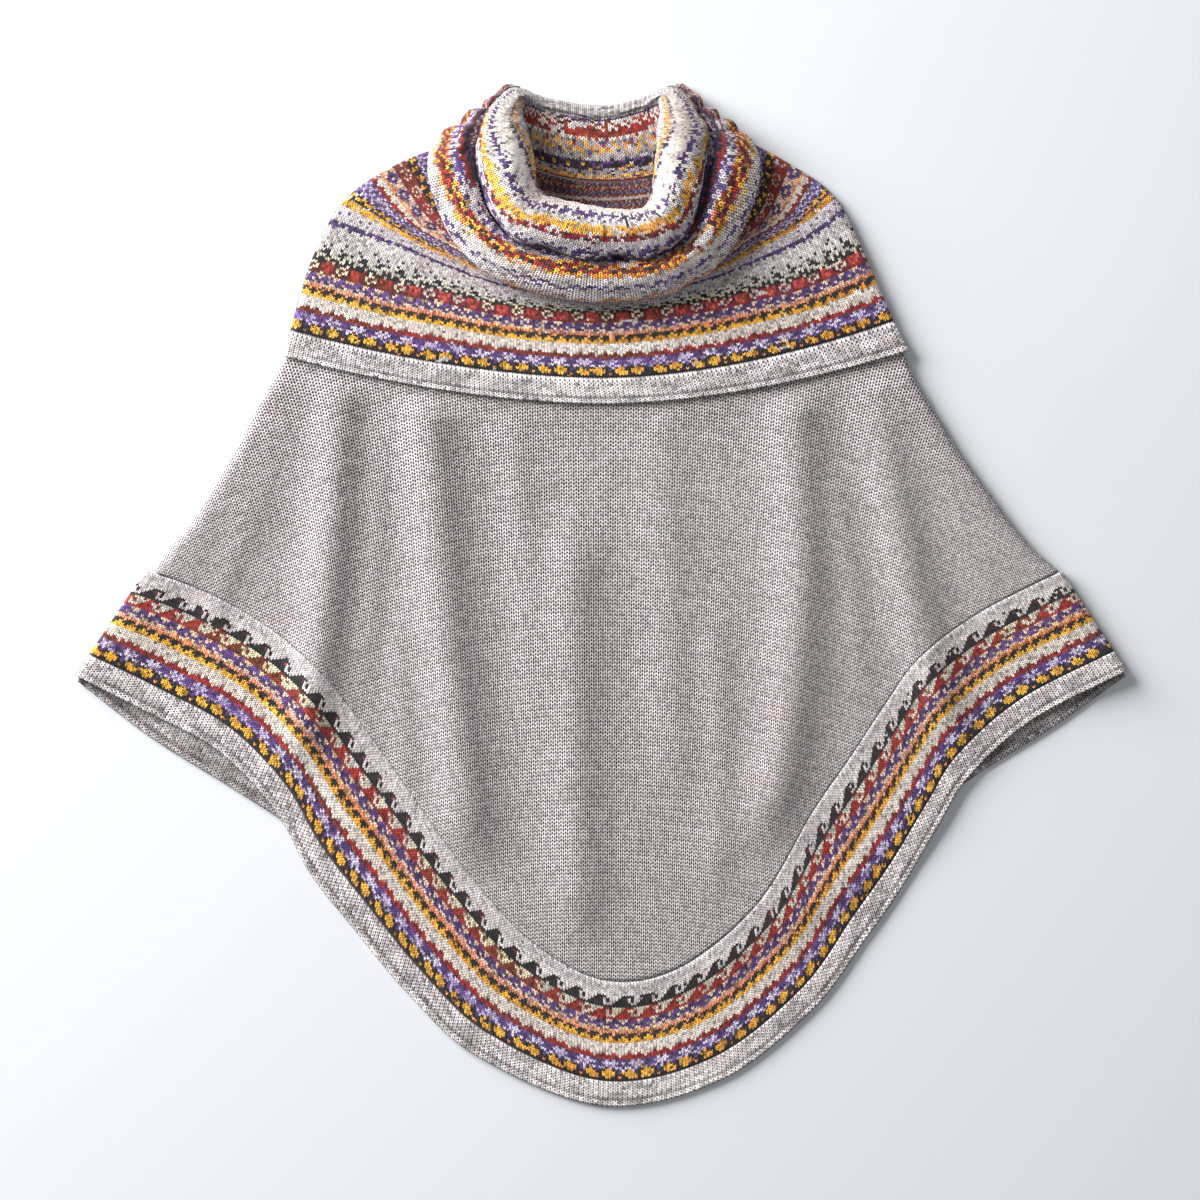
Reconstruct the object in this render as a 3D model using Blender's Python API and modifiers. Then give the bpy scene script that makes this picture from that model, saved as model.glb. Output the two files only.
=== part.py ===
"""A knitted poncho sweater laid out flat on its back.

+X is the wearer's left side to the viewer's right, +Y points to the collar and +Z up from the
surface that the garment lies on. Every size and table is in millimetres. The origin is on that
surface, below the middle of the garment.
"""

from collections import namedtuple
from math import cos, radians, sin

import bmesh
import bpy
import numpy as np

MM = 0.001

# Knitted walls.
BODY_WALL = 2.4
RIB_WALL = 3.0
COLLAR_WALL = 3.0
SEAM_GAP = 0.3
COLLAR_GAP = 1.6

# Layers that lie on each other, as heights of their outer faces above the surface.
FRONT_LEVEL = 6.4
FRONT_ON_SURFACE = 3.2
FRONT_UNDER_YOKE = 8.4
BACK_LIFT_UNDER_YOKE = 3.3

# The round fold along each side, where front and back meet.
FOLD_REACH = 8.5
FOLD_LEG = 1.5
FOLD_HEIGHT = 12.6
FOLD_HEIGHT_UNDER_YOKE = 9.2
FOLD_SETTLES = 42.0

# Splits of the hem, as shares of the way from the linking ridge (1) to the hem edge (2).
RIB_STARTS = 1.8

# How far the cast-on edges of the layers reach over each other.
BACK_HEM_CLEAR = 12.0
BACK_HEM_SETTLES = 40.0

# Grids.
EDGE_INSETS = (0.0, 0.0, 0.9, 2.8, 5.4, 8.5)
FRONT_COLUMNS = 28
BACK_COLUMNS = 18
YOKE_COLUMNS = 24
FRONT_DOWNS = (
    0.0, 0.03, 0.062, 0.105, 0.15, 0.20, 0.26, 0.32, 0.38, 0.44, 0.50, 0.56, 0.62, 0.69, 0.76,
    0.84, 0.92, 1.0,
)
BACK_DOWNS = (0.0, 0.045, 0.075, 0.13, 0.2, 0.3, 0.42, 0.55, 0.7, 0.85, 1.0)
COLLAR_COLUMNS = 52
STEPS_PER_COLLAR_KNOT = 2

Section = namedtuple("Section", "top_x top_y ridge_x ridge_y hem_x hem_y")
FRONT_SECTIONS = (
    Section(-267, 234, -391, 20, -460, -71),
    Section(-242, 226, -341, 0, -396, -104),
    Section(-217, 219, -288, -31, -334, -138),
    Section(-191, 213, -242, -71, -284, -191),
    Section(-165, 208, -208, -115, -255, -244),
    Section(-138, 202, -167, -173, -215, -295),
    Section(-102, 197, -119, -240, -167, -352),
    Section(-62, 194, -62, -303, -108, -405),
    Section(-1, 192, 3, -338, 1, -448),
    Section(62, 194, 69, -327, 104, -426),
    Section(102, 197, 137, -271, 185, -364),
    Section(139, 203, 185, -191, 231, -303),
    Section(165, 209, 218, -143, 262, -259),
    Section(190, 215, 251, -93, 295, -203),
    Section(212, 222, 279, -55, 321, -161),
    Section(232, 230, 330, -17, 376, -111),
    Section(251, 238, 400, 20, 460, -67),
)
BACK_SECTIONS = (
    Section(-267, 234, -391, 20, -459, -76),
    Section(-217, 223, -332, -25, -395, -125),
    Section(-165, 215, -264, -71, -323, -170),
    Section(-106, 209, -180, -126, -224, -233),
    Section(-53, 207, -93, -187, -115, -299),
    Section(-1, 206, -1, -224, -1, -336),
    Section(52, 207, 91, -187, 113, -299),
    Section(104, 209, 179, -126, 227, -230),
    Section(163, 215, 266, -67, 328, -159),
    Section(212, 224, 336, -21, 395, -117),
    Section(251, 238, 400, 20, 459, -72),
)

# How far each side of the body curves in from the straight line between yoke and ridge.
SideSag = namedtuple("SideSag", "down left_in right_in")
SIDE_SAGS = (
    SideSag(0.0, 0, 0),
    SideSag(0.12, 8, 5),
    SideSag(0.21, 8, 11),
    SideSag(0.31, 8, 13),
    SideSag(0.51, 11, 16),
    SideSag(0.72, 10, 14),
    SideSag(0.82, 8, 13),
    SideSag(0.92, 3, 9),
    SideSag(1.0, 0, 0),
)
BAND_FLARE_LEFT = 8.0
BAND_FLARE_RIGHT = 3.0

# Soft folds of the front, each along a line of three points.
Fold = namedtuple("Fold", "x1 y1 x2 y2 x3 y3 height reach")
FOLDS = (
    Fold(-242, 170, -253, -23, -283, -180, 9, 24),
    Fold(-141, 109, -131, -75, -115, -251, 8, 24),
    Fold(-3, -23, -3, -163, -1, -321, 6, 30),
    Fold(150, 152, 148, -40, 126, -233, 9, 26),
    Fold(246, 179, 266, 30, 319, -154, 9, 22),
)
FOLD_FADES = 70.0

# Rows of the yoke from the free edge of its rib (0) and the top of that rib (1) to the neck seam.
Row = namedtuple("Row", "left_x left_y front_y back_y right_x right_y bend level fold_height")
YOKE_ROWS = (
    Row(-278, 208, 166, 183, 270, 213, 1.8, 11.9, 13.0),
    Row(-272, 231, 189, 206, 256, 239, 1.8, 11.9, 13.0),
    Row(-253, 293, 246, 262, 229, 301, 1.9, 11.6, 12.0),
    Row(-226, 343, 266, 297, 204, 348, 2.0, 11.8, 10.5),
    Row(-177, 377, 279, 330, 164, 377, 2.0, 12.2, 8.6),
    Row(-113, 400, 294, 360, 123, 399, 2.0, 12.8, 7.2),
)
NECK_ROW = len(YOKE_ROWS) - 1
YOKE_CENTRE = 2.0

# How far past the yoke's free edge the layers below stay pressed, and how soon they settle.
YOKE_REACH = 30.0
YOKE_SETTLES = 24.0

# The turned-over collar, by stations round its opening. Each station holds where on the neck
# seam its wall starts (0 left, 0.25 front, 0.5 right, 0.75 back), the edge of the opening, the
# way its rolls fall, the reach and top of the first roll, the crease behind it, the reach and
# top of the second roll and the height at which the free edge lies.
Station = namedtuple("Station", "seam x y toward reach1 top1 crease reach2 top2 lies")
STATIONS = (
    Station(0.25, 2, 334, 270, 43, 60, 33, 35, 44, 15.5),
    Station(0.19, -31, 341, 236, 49, 60, 33, 36, 44, 15.5),
    Station(0.12, -53, 350, 208, 45, 58, 31, 40, 42, 15.0),
    Station(0.04, -61, 385, 187, 46, 54, 29, 44, 38, 14.5),
    Station(0.0, -66, 405, 184, 38, 48, 26, 32, 32, 12.5),
    Station(-0.03, -69, 416, 172, 29, 40, 20, 13, 21, 7.0),
    Station(-0.05, -69, 424, 155, 21, 32, 13, 5, 12, 4.5),
    Station(-0.07, -65, 428, 126, 16, 24, 8, 3, 6, 2.6),
    Station(-0.14, -46, 422, 100, 11, 12, 1.6, -30, 1.6, 1.6),
    Station(-0.25, 0, 415, 90, 11, 9.5, 1.6, -39, 1.6, 1.6),
    Station(-0.36, 36, 423, 80, 11, 12, 1.6, -30, 1.6, 1.6),
    Station(-0.43, 51, 429, 50, 16, 24, 8, 3, 6, 2.6),
    Station(-0.45, 53, 424, 24, 24, 32, 13, 6, 12, 4.5),
    Station(-0.47, 52, 414, 9, 33, 40, 20, 12, 22, 7.0),
    Station(-0.5, 51, 402, 3, 42, 48, 26, 25, 32, 12.5),
    Station(-0.54, 49, 380, -4, 43, 54, 29, 46, 38, 14.5),
    Station(-0.62, 43, 341, -28, 41, 58, 31, 39, 42, 15.0),
    Station(-0.69, 28, 333, -58, 44, 60, 33, 33, 44, 15.5),
)
COLLAR_TUCK = 17.0
COLLAR_TUCK_BACK = 3.0
SEAM_FLAT = 5.0

GREY = (0.40, 0.37, 0.36, 1.0)
PALE = (0.62, 0.58, 0.56, 1.0)
HEM_COLOURS = (0.42, 0.24, 0.24, 1.0)
YOKE_COLOURS = (0.42, 0.25, 0.24, 1.0)
COLLAR_COLOURS = (0.48, 0.36, 0.34, 1.0)


def blend(share):
    """Smooth step from 0 to 1."""
    share = min(max(share, 0.0), 1.0)
    return share * share * (3.0 - 2.0 * share)


def spline(knots, place):
    """The value at place, counted in knots, on a smooth curve through the rows of knots."""
    knots = np.asarray(knots, float)
    first = min(max(int(np.floor(place)), 0), len(knots) - 2)
    start, end = knots[first], knots[first + 1]
    before = knots[first - 1] if first > 0 else 2 * start - end
    after = knots[first + 2] if first + 2 < len(knots) else 2 * end - start
    step = place - first
    bow = 2 * before - 5 * start + 4 * end - after
    twist = 3 * (start - end) + after - before
    return start + 0.5 * step * (end - before + step * (bow + step * twist))


def between(share, places, values):
    return float(np.interp(share, places, values))


def plan_point(sections, across, down):
    """Where a point of the body lies, across 0 to 1 and down 0 (top), 1 (ridge) to 2 (hem)."""
    section = spline(sections, across * (len(sections) - 1))
    top, ridge, hem = section[0:2], section[2:4], section[4:6]
    near_left = max(0.0, 1.0 - 2.0 * across) ** 4
    near_right = max(0.0, 2.0 * across - 1.0) ** 4
    downs = [sag.down for sag in SIDE_SAGS]
    left_in = between(down, downs, [sag.left_in for sag in SIDE_SAGS])
    right_in = between(down, downs, [sag.right_in for sag in SIDE_SAGS])
    if down <= 1.0:
        place = top + (ridge - top) * down
        place[0] += near_left * left_in - near_right * right_in
        return place
    place = ridge + (hem - ridge) * (down - 1.0)
    place[0] -= (2.0 - down) * (BAND_FLARE_LEFT * near_left**8 - BAND_FLARE_RIGHT * near_right**8)
    return place


def row_point(row, front, across):
    """A point on one row of the yoke, which bows down in the middle."""
    middle = row.front_y if front else row.back_y
    if across < 0.5:
        side_x, side_y, share = row.left_x, row.left_y, 1.0 - 2.0 * across
    else:
        side_x, side_y, share = row.right_x, row.right_y, 2.0 * across - 1.0
    return np.array([
        YOKE_CENTRE + (side_x - YOKE_CENTRE) * share,
        middle + (side_y - middle) * share**row.bend,
    ])


def yoke_place(front, across, up):
    places = [row_point(row, front, across) for row in YOKE_ROWS]
    return spline(places, up)


def steps(start, end, count):
    return [start + (end - start) * number / count for number in range(count + 1)]


def row_width(curve):
    points = [curve(share) for share in steps(0.0, 1.0, 24)]
    return sum(np.linalg.norm(b - a) for a, b in zip(points, points[1:]))


def back_hem_y(x):
    xs = [section.hem_x for section in BACK_SECTIONS]
    ys = [section.hem_y for section in BACK_SECTIONS]
    return between(x, xs, ys)


def under_yoke(front, x, y):
    """1 below the yoke's rib, falling to 0 a little outside it."""
    rib = YOKE_ROWS[0]
    middle = rib.front_y if front else rib.back_y
    side_x = rib.right_x if x > YOKE_CENTRE else rib.left_x
    share = min((x - YOKE_CENTRE) / (side_x - YOKE_CENTRE), 1.0)
    edge = middle + (rib.right_y - middle) * share**rib.bend
    return blend((y - edge + YOKE_REACH) / YOKE_SETTLES)


def fold_rise(x, y):
    """How far the soft folds lift the front here."""
    rise = 0.0
    for fold in FOLDS:
        if not fold.y3 < y < fold.y1 + FOLD_FADES:
            continue
        middle = (y - fold.y1) / (fold.y3 - fold.y1)
        line = (
            fold.x1 * (1 - middle) * (1 - 2 * middle)
            + fold.x2 * 4 * middle * (1 - middle)
            + fold.x3 * middle * (2 * middle - 1)
        )
        fade = blend((fold.y1 + FOLD_FADES - y) / FOLD_FADES) * blend((y - fold.y3) / FOLD_FADES)
        rise += fold.height * fade * np.exp(-(((x - line) / fold.reach) ** 2))
    return rise


def front_height(x, y, inset, fold_top, seam_height, leg):
    """The height of the front's outer face, from the side's fold to the middle."""
    if leg:
        return seam_height
    start = seam_height + FOLD_LEG
    if inset < FOLD_REACH:
        round_share = np.sqrt(max(0.0, 1.0 - (1.0 - inset / FOLD_REACH) ** 2))
        return start + (fold_top - start) * round_share
    on_back = blend((y - back_hem_y(x) + BACK_HEM_CLEAR + BACK_HEM_SETTLES) / BACK_HEM_SETTLES)
    level = FRONT_ON_SURFACE + (FRONT_LEVEL - FRONT_ON_SURFACE) * on_back
    level += (FRONT_UNDER_YOKE - FRONT_LEVEL) * under_yoke(True, x, y)
    near_side = np.exp(-(((inset - FOLD_REACH) / FOLD_SETTLES) ** 2))
    open_share = 1.0 - under_yoke(True, x, y)
    return level + (fold_top - level) * near_side + fold_rise(x, y) * open_share * (1 - near_side)


def back_height(lift, inset, seam_height, leg):
    """The height of the back's lower face."""
    if leg:
        return seam_height
    start = seam_height - FOLD_LEG
    if inset < FOLD_REACH:
        round_share = np.sqrt(max(0.0, 1.0 - (1.0 - inset / FOLD_REACH) ** 2))
        return start + (lift - start) * round_share
    return lift


def columns(width, count):
    """(share across, inset in mm, whether it is the outermost line) for each line of a grid."""
    edge = [(inset / width, inset, number == 0) for number, inset in enumerate(EDGE_INSETS)]
    start = (FOLD_REACH + 7.0) / width
    shares = steps(start, 1.0 - start, count - 1)
    middle = [(share, min(share, 1.0 - share) * width, False) for share in shares]
    far = [(1 - share, inset, leg) for share, inset, leg in reversed(edge)]
    return edge + middle + far


def sheet_object(name, rows, wall, material, faces_up, closed=False):
    """A grid of points on a wall's outer face, thickened with Solidify."""
    points = np.array(rows, float)
    high, wide = points.shape[:2]
    shape = bmesh.new()
    bmesh.ops.create_grid(shape, x_segments=wide - 1, y_segments=high - 1, size=1.0)
    corners = sorted(shape.verts, key=lambda vert: (round(vert.co.y, 5), round(vert.co.x, 5)))
    for corner, place in zip(corners, points.reshape(-1, 3)):
        corner.co = place * MM
    if closed:
        bmesh.ops.remove_doubles(shape, verts=shape.verts, dist=0.00001)
    if not faces_up:
        bmesh.ops.reverse_faces(shape, faces=shape.faces)
    mesh = bpy.data.meshes.new(name)
    shape.to_mesh(mesh)
    shape.free()
    mesh.materials.append(material)
    piece = bpy.data.objects.new(name, mesh)
    collection.objects.link(piece)
    solid = piece.modifiers.new("wall", "SOLIDIFY")
    solid.thickness = wall * MM
    solid.offset = 0.0 if closed else -1.0
    solid.use_rim = True
    solid.use_quality_normals = True
    return piece


def body_front(name, downs, wall, material):
    rows = []
    for down in downs:
        width = row_width(lambda share: plan_point(FRONT_SECTIONS, share, down))
        row = []
        for across, inset, leg in columns(width, FRONT_COLUMNS):
            x, y = plan_point(FRONT_SECTIONS, across, down)
            squeeze = (FOLD_HEIGHT - FOLD_HEIGHT_UNDER_YOKE) * under_yoke(True, x, y)
            fold_top = FOLD_HEIGHT - squeeze
            seam_height = (FOLD_HEIGHT / 2) + SEAM_GAP / 2
            row.append((x, y, front_height(x, y, inset, fold_top, seam_height, leg)))
        rows.append(row)
    return sheet_object(name, rows[::-1], wall, material, True)


def body_back(name, downs, wall, material):
    rows = []
    for down in downs:
        width = row_width(lambda share: plan_point(BACK_SECTIONS, share, down))
        row = []
        for across, inset, leg in columns(width, BACK_COLUMNS):
            x, y = plan_point(BACK_SECTIONS, across, down)
            lift = BACK_LIFT_UNDER_YOKE * under_yoke(False, x, y)
            seam_height = (FOLD_HEIGHT / 2) - SEAM_GAP / 2
            row.append((x, y, back_height(lift, inset, seam_height, leg)))
        rows.append(row)
    return sheet_object(name, rows[::-1], wall, material, False)


def yoke_level(up):
    ups = list(range(len(YOKE_ROWS)))
    level = between(up, ups, [row.level for row in YOKE_ROWS])
    fold_top = between(up, ups, [row.fold_height for row in YOKE_ROWS])
    return level, fold_top


def yoke_front_height(up, inset, leg):
    level, fold_top = yoke_level(up)
    seam_height = fold_top / 2 + SEAM_GAP / 2
    if leg:
        return seam_height
    start = seam_height + FOLD_LEG
    if inset < FOLD_REACH:
        round_share = np.sqrt(max(0.0, 1.0 - (1.0 - inset / FOLD_REACH) ** 2))
        return start + (fold_top - start) * round_share
    near_side = np.exp(-(((inset - FOLD_REACH) / FOLD_SETTLES) ** 2))
    return level + (fold_top - level) * near_side


def yoke_sheet(name, front, start, end, count, wall, material):
    rows = []
    for number in range(count):
        up = start + (end - start) * number / (count - 1)
        width = row_width(lambda share: yoke_place(front, share, up))
        row = []
        for across, inset, leg in columns(width, YOKE_COLUMNS if front else BACK_COLUMNS):
            x, y = yoke_place(front, across, up)
            if front:
                height = yoke_front_height(up, inset, leg)
            else:
                _, fold_top = yoke_level(up)
                height = back_height(0.0, inset, fold_top / 2 - SEAM_GAP / 2, leg)
            row.append((x, y, height))
        rows.append(row)
    return sheet_object(name, rows, wall, material, front)


def seam_point(place, beyond):
    """A point inside the wall at the neck seam, beyond mm past the yoke's edge."""
    place = place % 1.0
    front = place <= 0.5
    across = 2.0 * place if front else 2.0 - 2.0 * place
    edge = yoke_place(front, across, NECK_ROW)
    inside = edge - yoke_place(front, across, NECK_ROW - 0.05)
    inside /= np.linalg.norm(inside)
    width = row_width(lambda share: yoke_place(front, share, NECK_ROW))
    inset = min(across, 1 - across) * width
    level, fold_top = yoke_level(NECK_ROW)
    if front:
        height = yoke_front_height(NECK_ROW, max(inset, 0.01), False) - BODY_WALL / 2
    else:
        height = back_height(0.0, max(inset, 0.01), fold_top / 2, False) + BODY_WALL / 2
    # The wall turns on edge where it goes round the side's fold.
    turned = blend(1.0 - inset / FOLD_REACH)
    height += (fold_top / 2 - height) * turned
    toward_middle = 1.0 if across < 0.5 else -1.0
    edge = edge + np.array([toward_middle, 0.0]) * turned * BODY_WALL / 2
    x, y = edge + inside * beyond
    return np.array([x, y, height])


def collar_section(station):
    """Points through the collar's wall from the neck seam over both rolls to its free edge."""
    seam, x, y, toward, reach1, top1, crease, reach2, top2, lies = station
    outward = np.array([cos(radians(toward)), sin(radians(toward))])
    tuck = COLLAR_TUCK_BACK + (COLLAR_TUCK - COLLAR_TUCK_BACK) * blend((reach2 + 8.0) / 30.0)

    def at(reach, height):
        place = np.array([x, y]) + outward * reach
        return np.array([place[0], place[1], height])

    start = seam_point(seam, COLLAR_GAP)
    flat = seam_point(seam, COLLAR_GAP + SEAM_FLAT)
    opening = at(0.0, 0.7 * top1)
    inner = flat + (opening - flat) * 0.36
    inner[2] = flat[2] + max(3.6, 0.45 * (opening[2] - flat[2]))
    outer = reach1 + reach2
    return [
        start,
        flat,
        inner,
        opening,
        at(0.4 * reach1, top1),
        at(0.85 * reach1, top1 - 0.35 * (top1 - crease)),
        at(reach1, crease),
        at(reach1 + 0.25 * reach2, crease + 0.75 * (top2 - crease)),
        at(reach1 + 0.5 * reach2, top2),
        at(reach1 + 0.87 * reach2, top2 - 0.2 * (top2 - lies)),
        at(outer, 0.5 * (top2 + lies)),
        at(outer - 0.2 * tuck, lies + 0.12 * (top2 - lies)),
        at(outer - tuck, lies),
    ]


def station_at(place):
    """The stations' sizes at any place round the opening, counted in stations."""
    count = len(STATIONS)
    near = []
    for index in range(int(np.floor(place)) - 1, int(np.floor(place)) + 3):
        sizes = np.array(STATIONS[index % count], float)
        turns = index // count
        sizes[0] -= turns
        sizes[3] -= 360.0 * turns
        near.append(sizes)
    return spline(near, 1.0 + place % 1.0)


def collar(name, wall, material):
    lines = []
    for number in range(COLLAR_COLUMNS + 1):
        place = (number % COLLAR_COLUMNS) * len(STATIONS) / COLLAR_COLUMNS
        knots = collar_section(station_at(place))
        line = np.array([
            spline(knots, step / STEPS_PER_COLLAR_KNOT)
            for step in range(STEPS_PER_COLLAR_KNOT * (len(knots) - 1) + 1)
        ])
        line[:, 2] = np.maximum(line[:, 2], wall / 2 + 0.05)
        lines.append(line)
    rows = [[line[number] for line in lines] for number in range(len(lines[0]))]
    return sheet_object(name, rows, wall, material, True, closed=True)


def plain_material(name, colour):
    material = bpy.data.materials.new(name)
    material.use_nodes = True
    shader = material.node_tree.nodes["Principled BSDF"]
    shader.inputs["Base Color"].default_value = colour
    shader.inputs["Roughness"].default_value = 0.9
    return material


for left in list(bpy.data.objects):
    bpy.data.objects.remove(left)
collection = bpy.data.collections.new("knitted_poncho_sweater")
bpy.context.scene.collection.children.link(collection)

grey = plain_material("grey_knit", GREY)
pale = plain_material("pale_rib_knit", PALE)
hem_pattern = plain_material("hem_pattern_knit", HEM_COLOURS)
yoke_pattern = plain_material("yoke_pattern_knit", YOKE_COLOURS)
collar_pattern = plain_material("collar_pattern_knit", COLLAR_COLOURS)

# Half the seam gap, as a share of the way down the body, the hem and the yoke.
BODY_NICK = SEAM_GAP / 2 / 500
HEM_NICK = SEAM_GAP / 2 / 108
YOKE_NICK = SEAM_GAP / 2 / 23
BAND_START = 1.0 + HEM_NICK
BAND_END = RIB_STARTS - HEM_NICK
RIB_START = RIB_STARTS + HEM_NICK

body_front("body_front", FRONT_DOWNS[:-1] + (1.0 - BODY_NICK,), BODY_WALL, grey)
body_front("hem_band_front", steps(BAND_START, BAND_END, 4), BODY_WALL, hem_pattern)
body_front("hem_rib_front", steps(RIB_START, 2.0, 2), RIB_WALL, pale)
body_back("body_back", BACK_DOWNS[:-1] + (1.0 - BODY_NICK,), BODY_WALL, grey)
body_back("hem_band_back", steps(BAND_START, BAND_END, 3), BODY_WALL, hem_pattern)
body_back("hem_rib_back", steps(RIB_START, 2.0, 2), RIB_WALL, pale)
yoke_sheet("yoke_rib_front", True, 0.0, 1.0 - YOKE_NICK, 3, RIB_WALL, pale)
yoke_sheet("yoke_front", True, 1.0 + YOKE_NICK, NECK_ROW, 10, BODY_WALL, yoke_pattern)
yoke_sheet("yoke_rib_back", False, 0.0, 1.0 - YOKE_NICK, 3, RIB_WALL, pale)
yoke_sheet("yoke_back", False, 1.0 + YOKE_NICK, NECK_ROW, 6, BODY_WALL, yoke_pattern)
collar("collar", COLLAR_WALL, collar_pattern)
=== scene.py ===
"""Looks of the knitted poncho sweater: every knitted piece as a stitched shell on its solid's form.

Sizes and tables are in millimetres, as in the part's source; MM turns them into metres.
"""

from collections import namedtuple
from math import atan, pi

import bpy
import numpy as np
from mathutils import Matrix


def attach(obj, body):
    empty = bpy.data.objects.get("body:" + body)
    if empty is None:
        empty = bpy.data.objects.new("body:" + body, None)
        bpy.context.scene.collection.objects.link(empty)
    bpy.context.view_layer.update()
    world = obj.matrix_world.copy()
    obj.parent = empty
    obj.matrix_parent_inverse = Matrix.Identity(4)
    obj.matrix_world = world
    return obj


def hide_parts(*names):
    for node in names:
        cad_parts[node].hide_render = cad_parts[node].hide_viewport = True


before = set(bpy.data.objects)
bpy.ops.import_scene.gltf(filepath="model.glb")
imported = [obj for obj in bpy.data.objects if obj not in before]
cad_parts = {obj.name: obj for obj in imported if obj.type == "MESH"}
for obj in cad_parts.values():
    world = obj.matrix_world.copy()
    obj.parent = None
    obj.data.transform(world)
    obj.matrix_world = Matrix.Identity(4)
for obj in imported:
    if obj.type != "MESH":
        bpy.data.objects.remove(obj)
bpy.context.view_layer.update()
bpy.ops.object.select_all(action="DESELECT")

MM = 0.001


def table(columns, *rows):
    """Rows with named columns."""
    kind = namedtuple("Row", columns)
    return [kind(*row) for row in rows]


# Walls, and the layers that lie on each other, as the solids have them. LINKED_GAP lies between the
# shells of the body and the hem band, under the ridge that joins them.
BODY_WALL = 2.4
RIB_WALL = 3.0
COLLAR_WALL = 3.0
SEAM_GAP = 0.3
LINKED_GAP = 0.1
COLLAR_GAP = 1.6
COLLAR_CLEAR = 0.05
FRONT_LEVEL = 6.4
FRONT_ON_SURFACE = 3.2
FRONT_UNDER_YOKE = 8.4
BACK_LIFT_UNDER_YOKE = 3.3
FOLD_REACH = 8.5
FOLD_LEG = 1.5
FOLD_HEIGHT = 12.6
FOLD_HEIGHT_UNDER_YOKE = 9.2
FOLD_SETTLES = 42.0
RIB_STARTS = 1.8
BACK_HEM_CLEAR = 12.0
BACK_HEM_SETTLES = 40.0

# The body from its top to the ridge, the hem from the ridge to its edge, and the yoke's rib.
BODY_DEPTH = 500.0
HEM_DEPTH = 108.0
YOKE_RIB_DEPTH = 23.0

SECTION = "top_x top_y ridge_x ridge_y hem_x hem_y"
FRONT_SECTIONS = table(
    SECTION,
    (-267, 234, -391, 20, -460, -71),
    (-242, 226, -341, 0, -396, -104),
    (-217, 219, -288, -31, -334, -138),
    (-191, 213, -242, -71, -284, -191),
    (-165, 208, -208, -115, -255, -244),
    (-138, 202, -167, -173, -215, -295),
    (-102, 197, -119, -240, -167, -352),
    (-62, 194, -62, -303, -108, -405),
    (-1, 192, 3, -338, 1, -448),
    (62, 194, 69, -327, 104, -426),
    (102, 197, 137, -271, 185, -364),
    (139, 203, 185, -191, 231, -303),
    (165, 209, 218, -143, 262, -259),
    (190, 215, 251, -93, 295, -203),
    (212, 222, 279, -55, 321, -161),
    (232, 230, 330, -17, 376, -111),
    (251, 238, 400, 20, 460, -67),
)
BACK_SECTIONS = table(
    SECTION,
    (-267, 234, -391, 20, -459, -76),
    (-217, 223, -332, -25, -395, -125),
    (-165, 215, -264, -71, -323, -170),
    (-106, 209, -180, -126, -224, -233),
    (-53, 207, -93, -187, -115, -299),
    (-1, 206, -1, -224, -1, -336),
    (52, 207, 91, -187, 113, -299),
    (104, 209, 179, -126, 227, -230),
    (163, 215, 266, -67, 328, -159),
    (212, 224, 336, -21, 395, -117),
    (251, 238, 400, 20, 459, -72),
)
SIDE_SAGS = table(
    "down left_in right_in",
    (0.0, 0, 0),
    (0.12, 8, 5),
    (0.21, 8, 11),
    (0.31, 8, 13),
    (0.51, 11, 16),
    (0.72, 10, 14),
    (0.82, 8, 13),
    (0.92, 3, 9),
    (1.0, 0, 0),
)
BAND_FLARE_LEFT = 8.0
BAND_FLARE_RIGHT = 3.0

# Soft folds of the front: the main ones, and shallower ones between them.
FOLDS = table(
    "x1 y1 x2 y2 x3 y3 height reach",
    (-232, 190, -240, 10, -268, -170, 12, 22),
    (-152, 150, -134, -60, -110, -255, 12, 24),
    (-26, 20, -24, -130, -16, -325, 8.5, 24),
    (166, 165, 172, -20, 136, -240, 10.5, 24),
    (246, 190, 268, 30, 312, -150, 9.8, 22),
    (-194, 120, -200, 10, -214, -110, 2.3, 11),
    (-78, 150, -66, 20, -58, -150, 3.0, 16),
    (52, 150, 60, 0, 66, -200, 3.6, 20),
    (212, 60, 222, -30, 232, -110, 2.4, 11),
    (-312, 60, -334, -10, -352, -60, 3.0, 14),
    (322, 50, 340, 0, 366, -50, 2.8, 13),
    (100, -60, 104, -180, 96, -290, 3.0, 14),
    (-176, -60, -172, -140, -166, -215, 2.4, 12),
)
FOLD_FADES = 70.0

# The yoke's outline, from the free edge of its rib (0) and the rib's top (1) to the neck seam.
YOKE_ROWS = table(
    "left_x left_y front_y back_y right_x right_y bend level fold_height",
    (-278, 208, 166, 183, 270, 213, 1.8, 11.9, 13.0),
    (-272, 231, 189, 206, 256, 239, 1.8, 11.9, 13.0),
    (-253, 293, 246, 262, 229, 301, 1.9, 11.6, 12.0),
    (-226, 343, 266, 297, 204, 348, 2.0, 11.8, 10.5),
    (-177, 377, 279, 330, 164, 377, 2.0, 12.2, 8.6),
    (-113, 400, 294, 360, 123, 399, 2.0, 12.8, 7.2),
)
NECK_ROW = len(YOKE_ROWS) - 1
YOKE_CENTRE = 2.0
YOKE_REACH = 30.0
YOKE_SETTLES = 24.0

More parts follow.
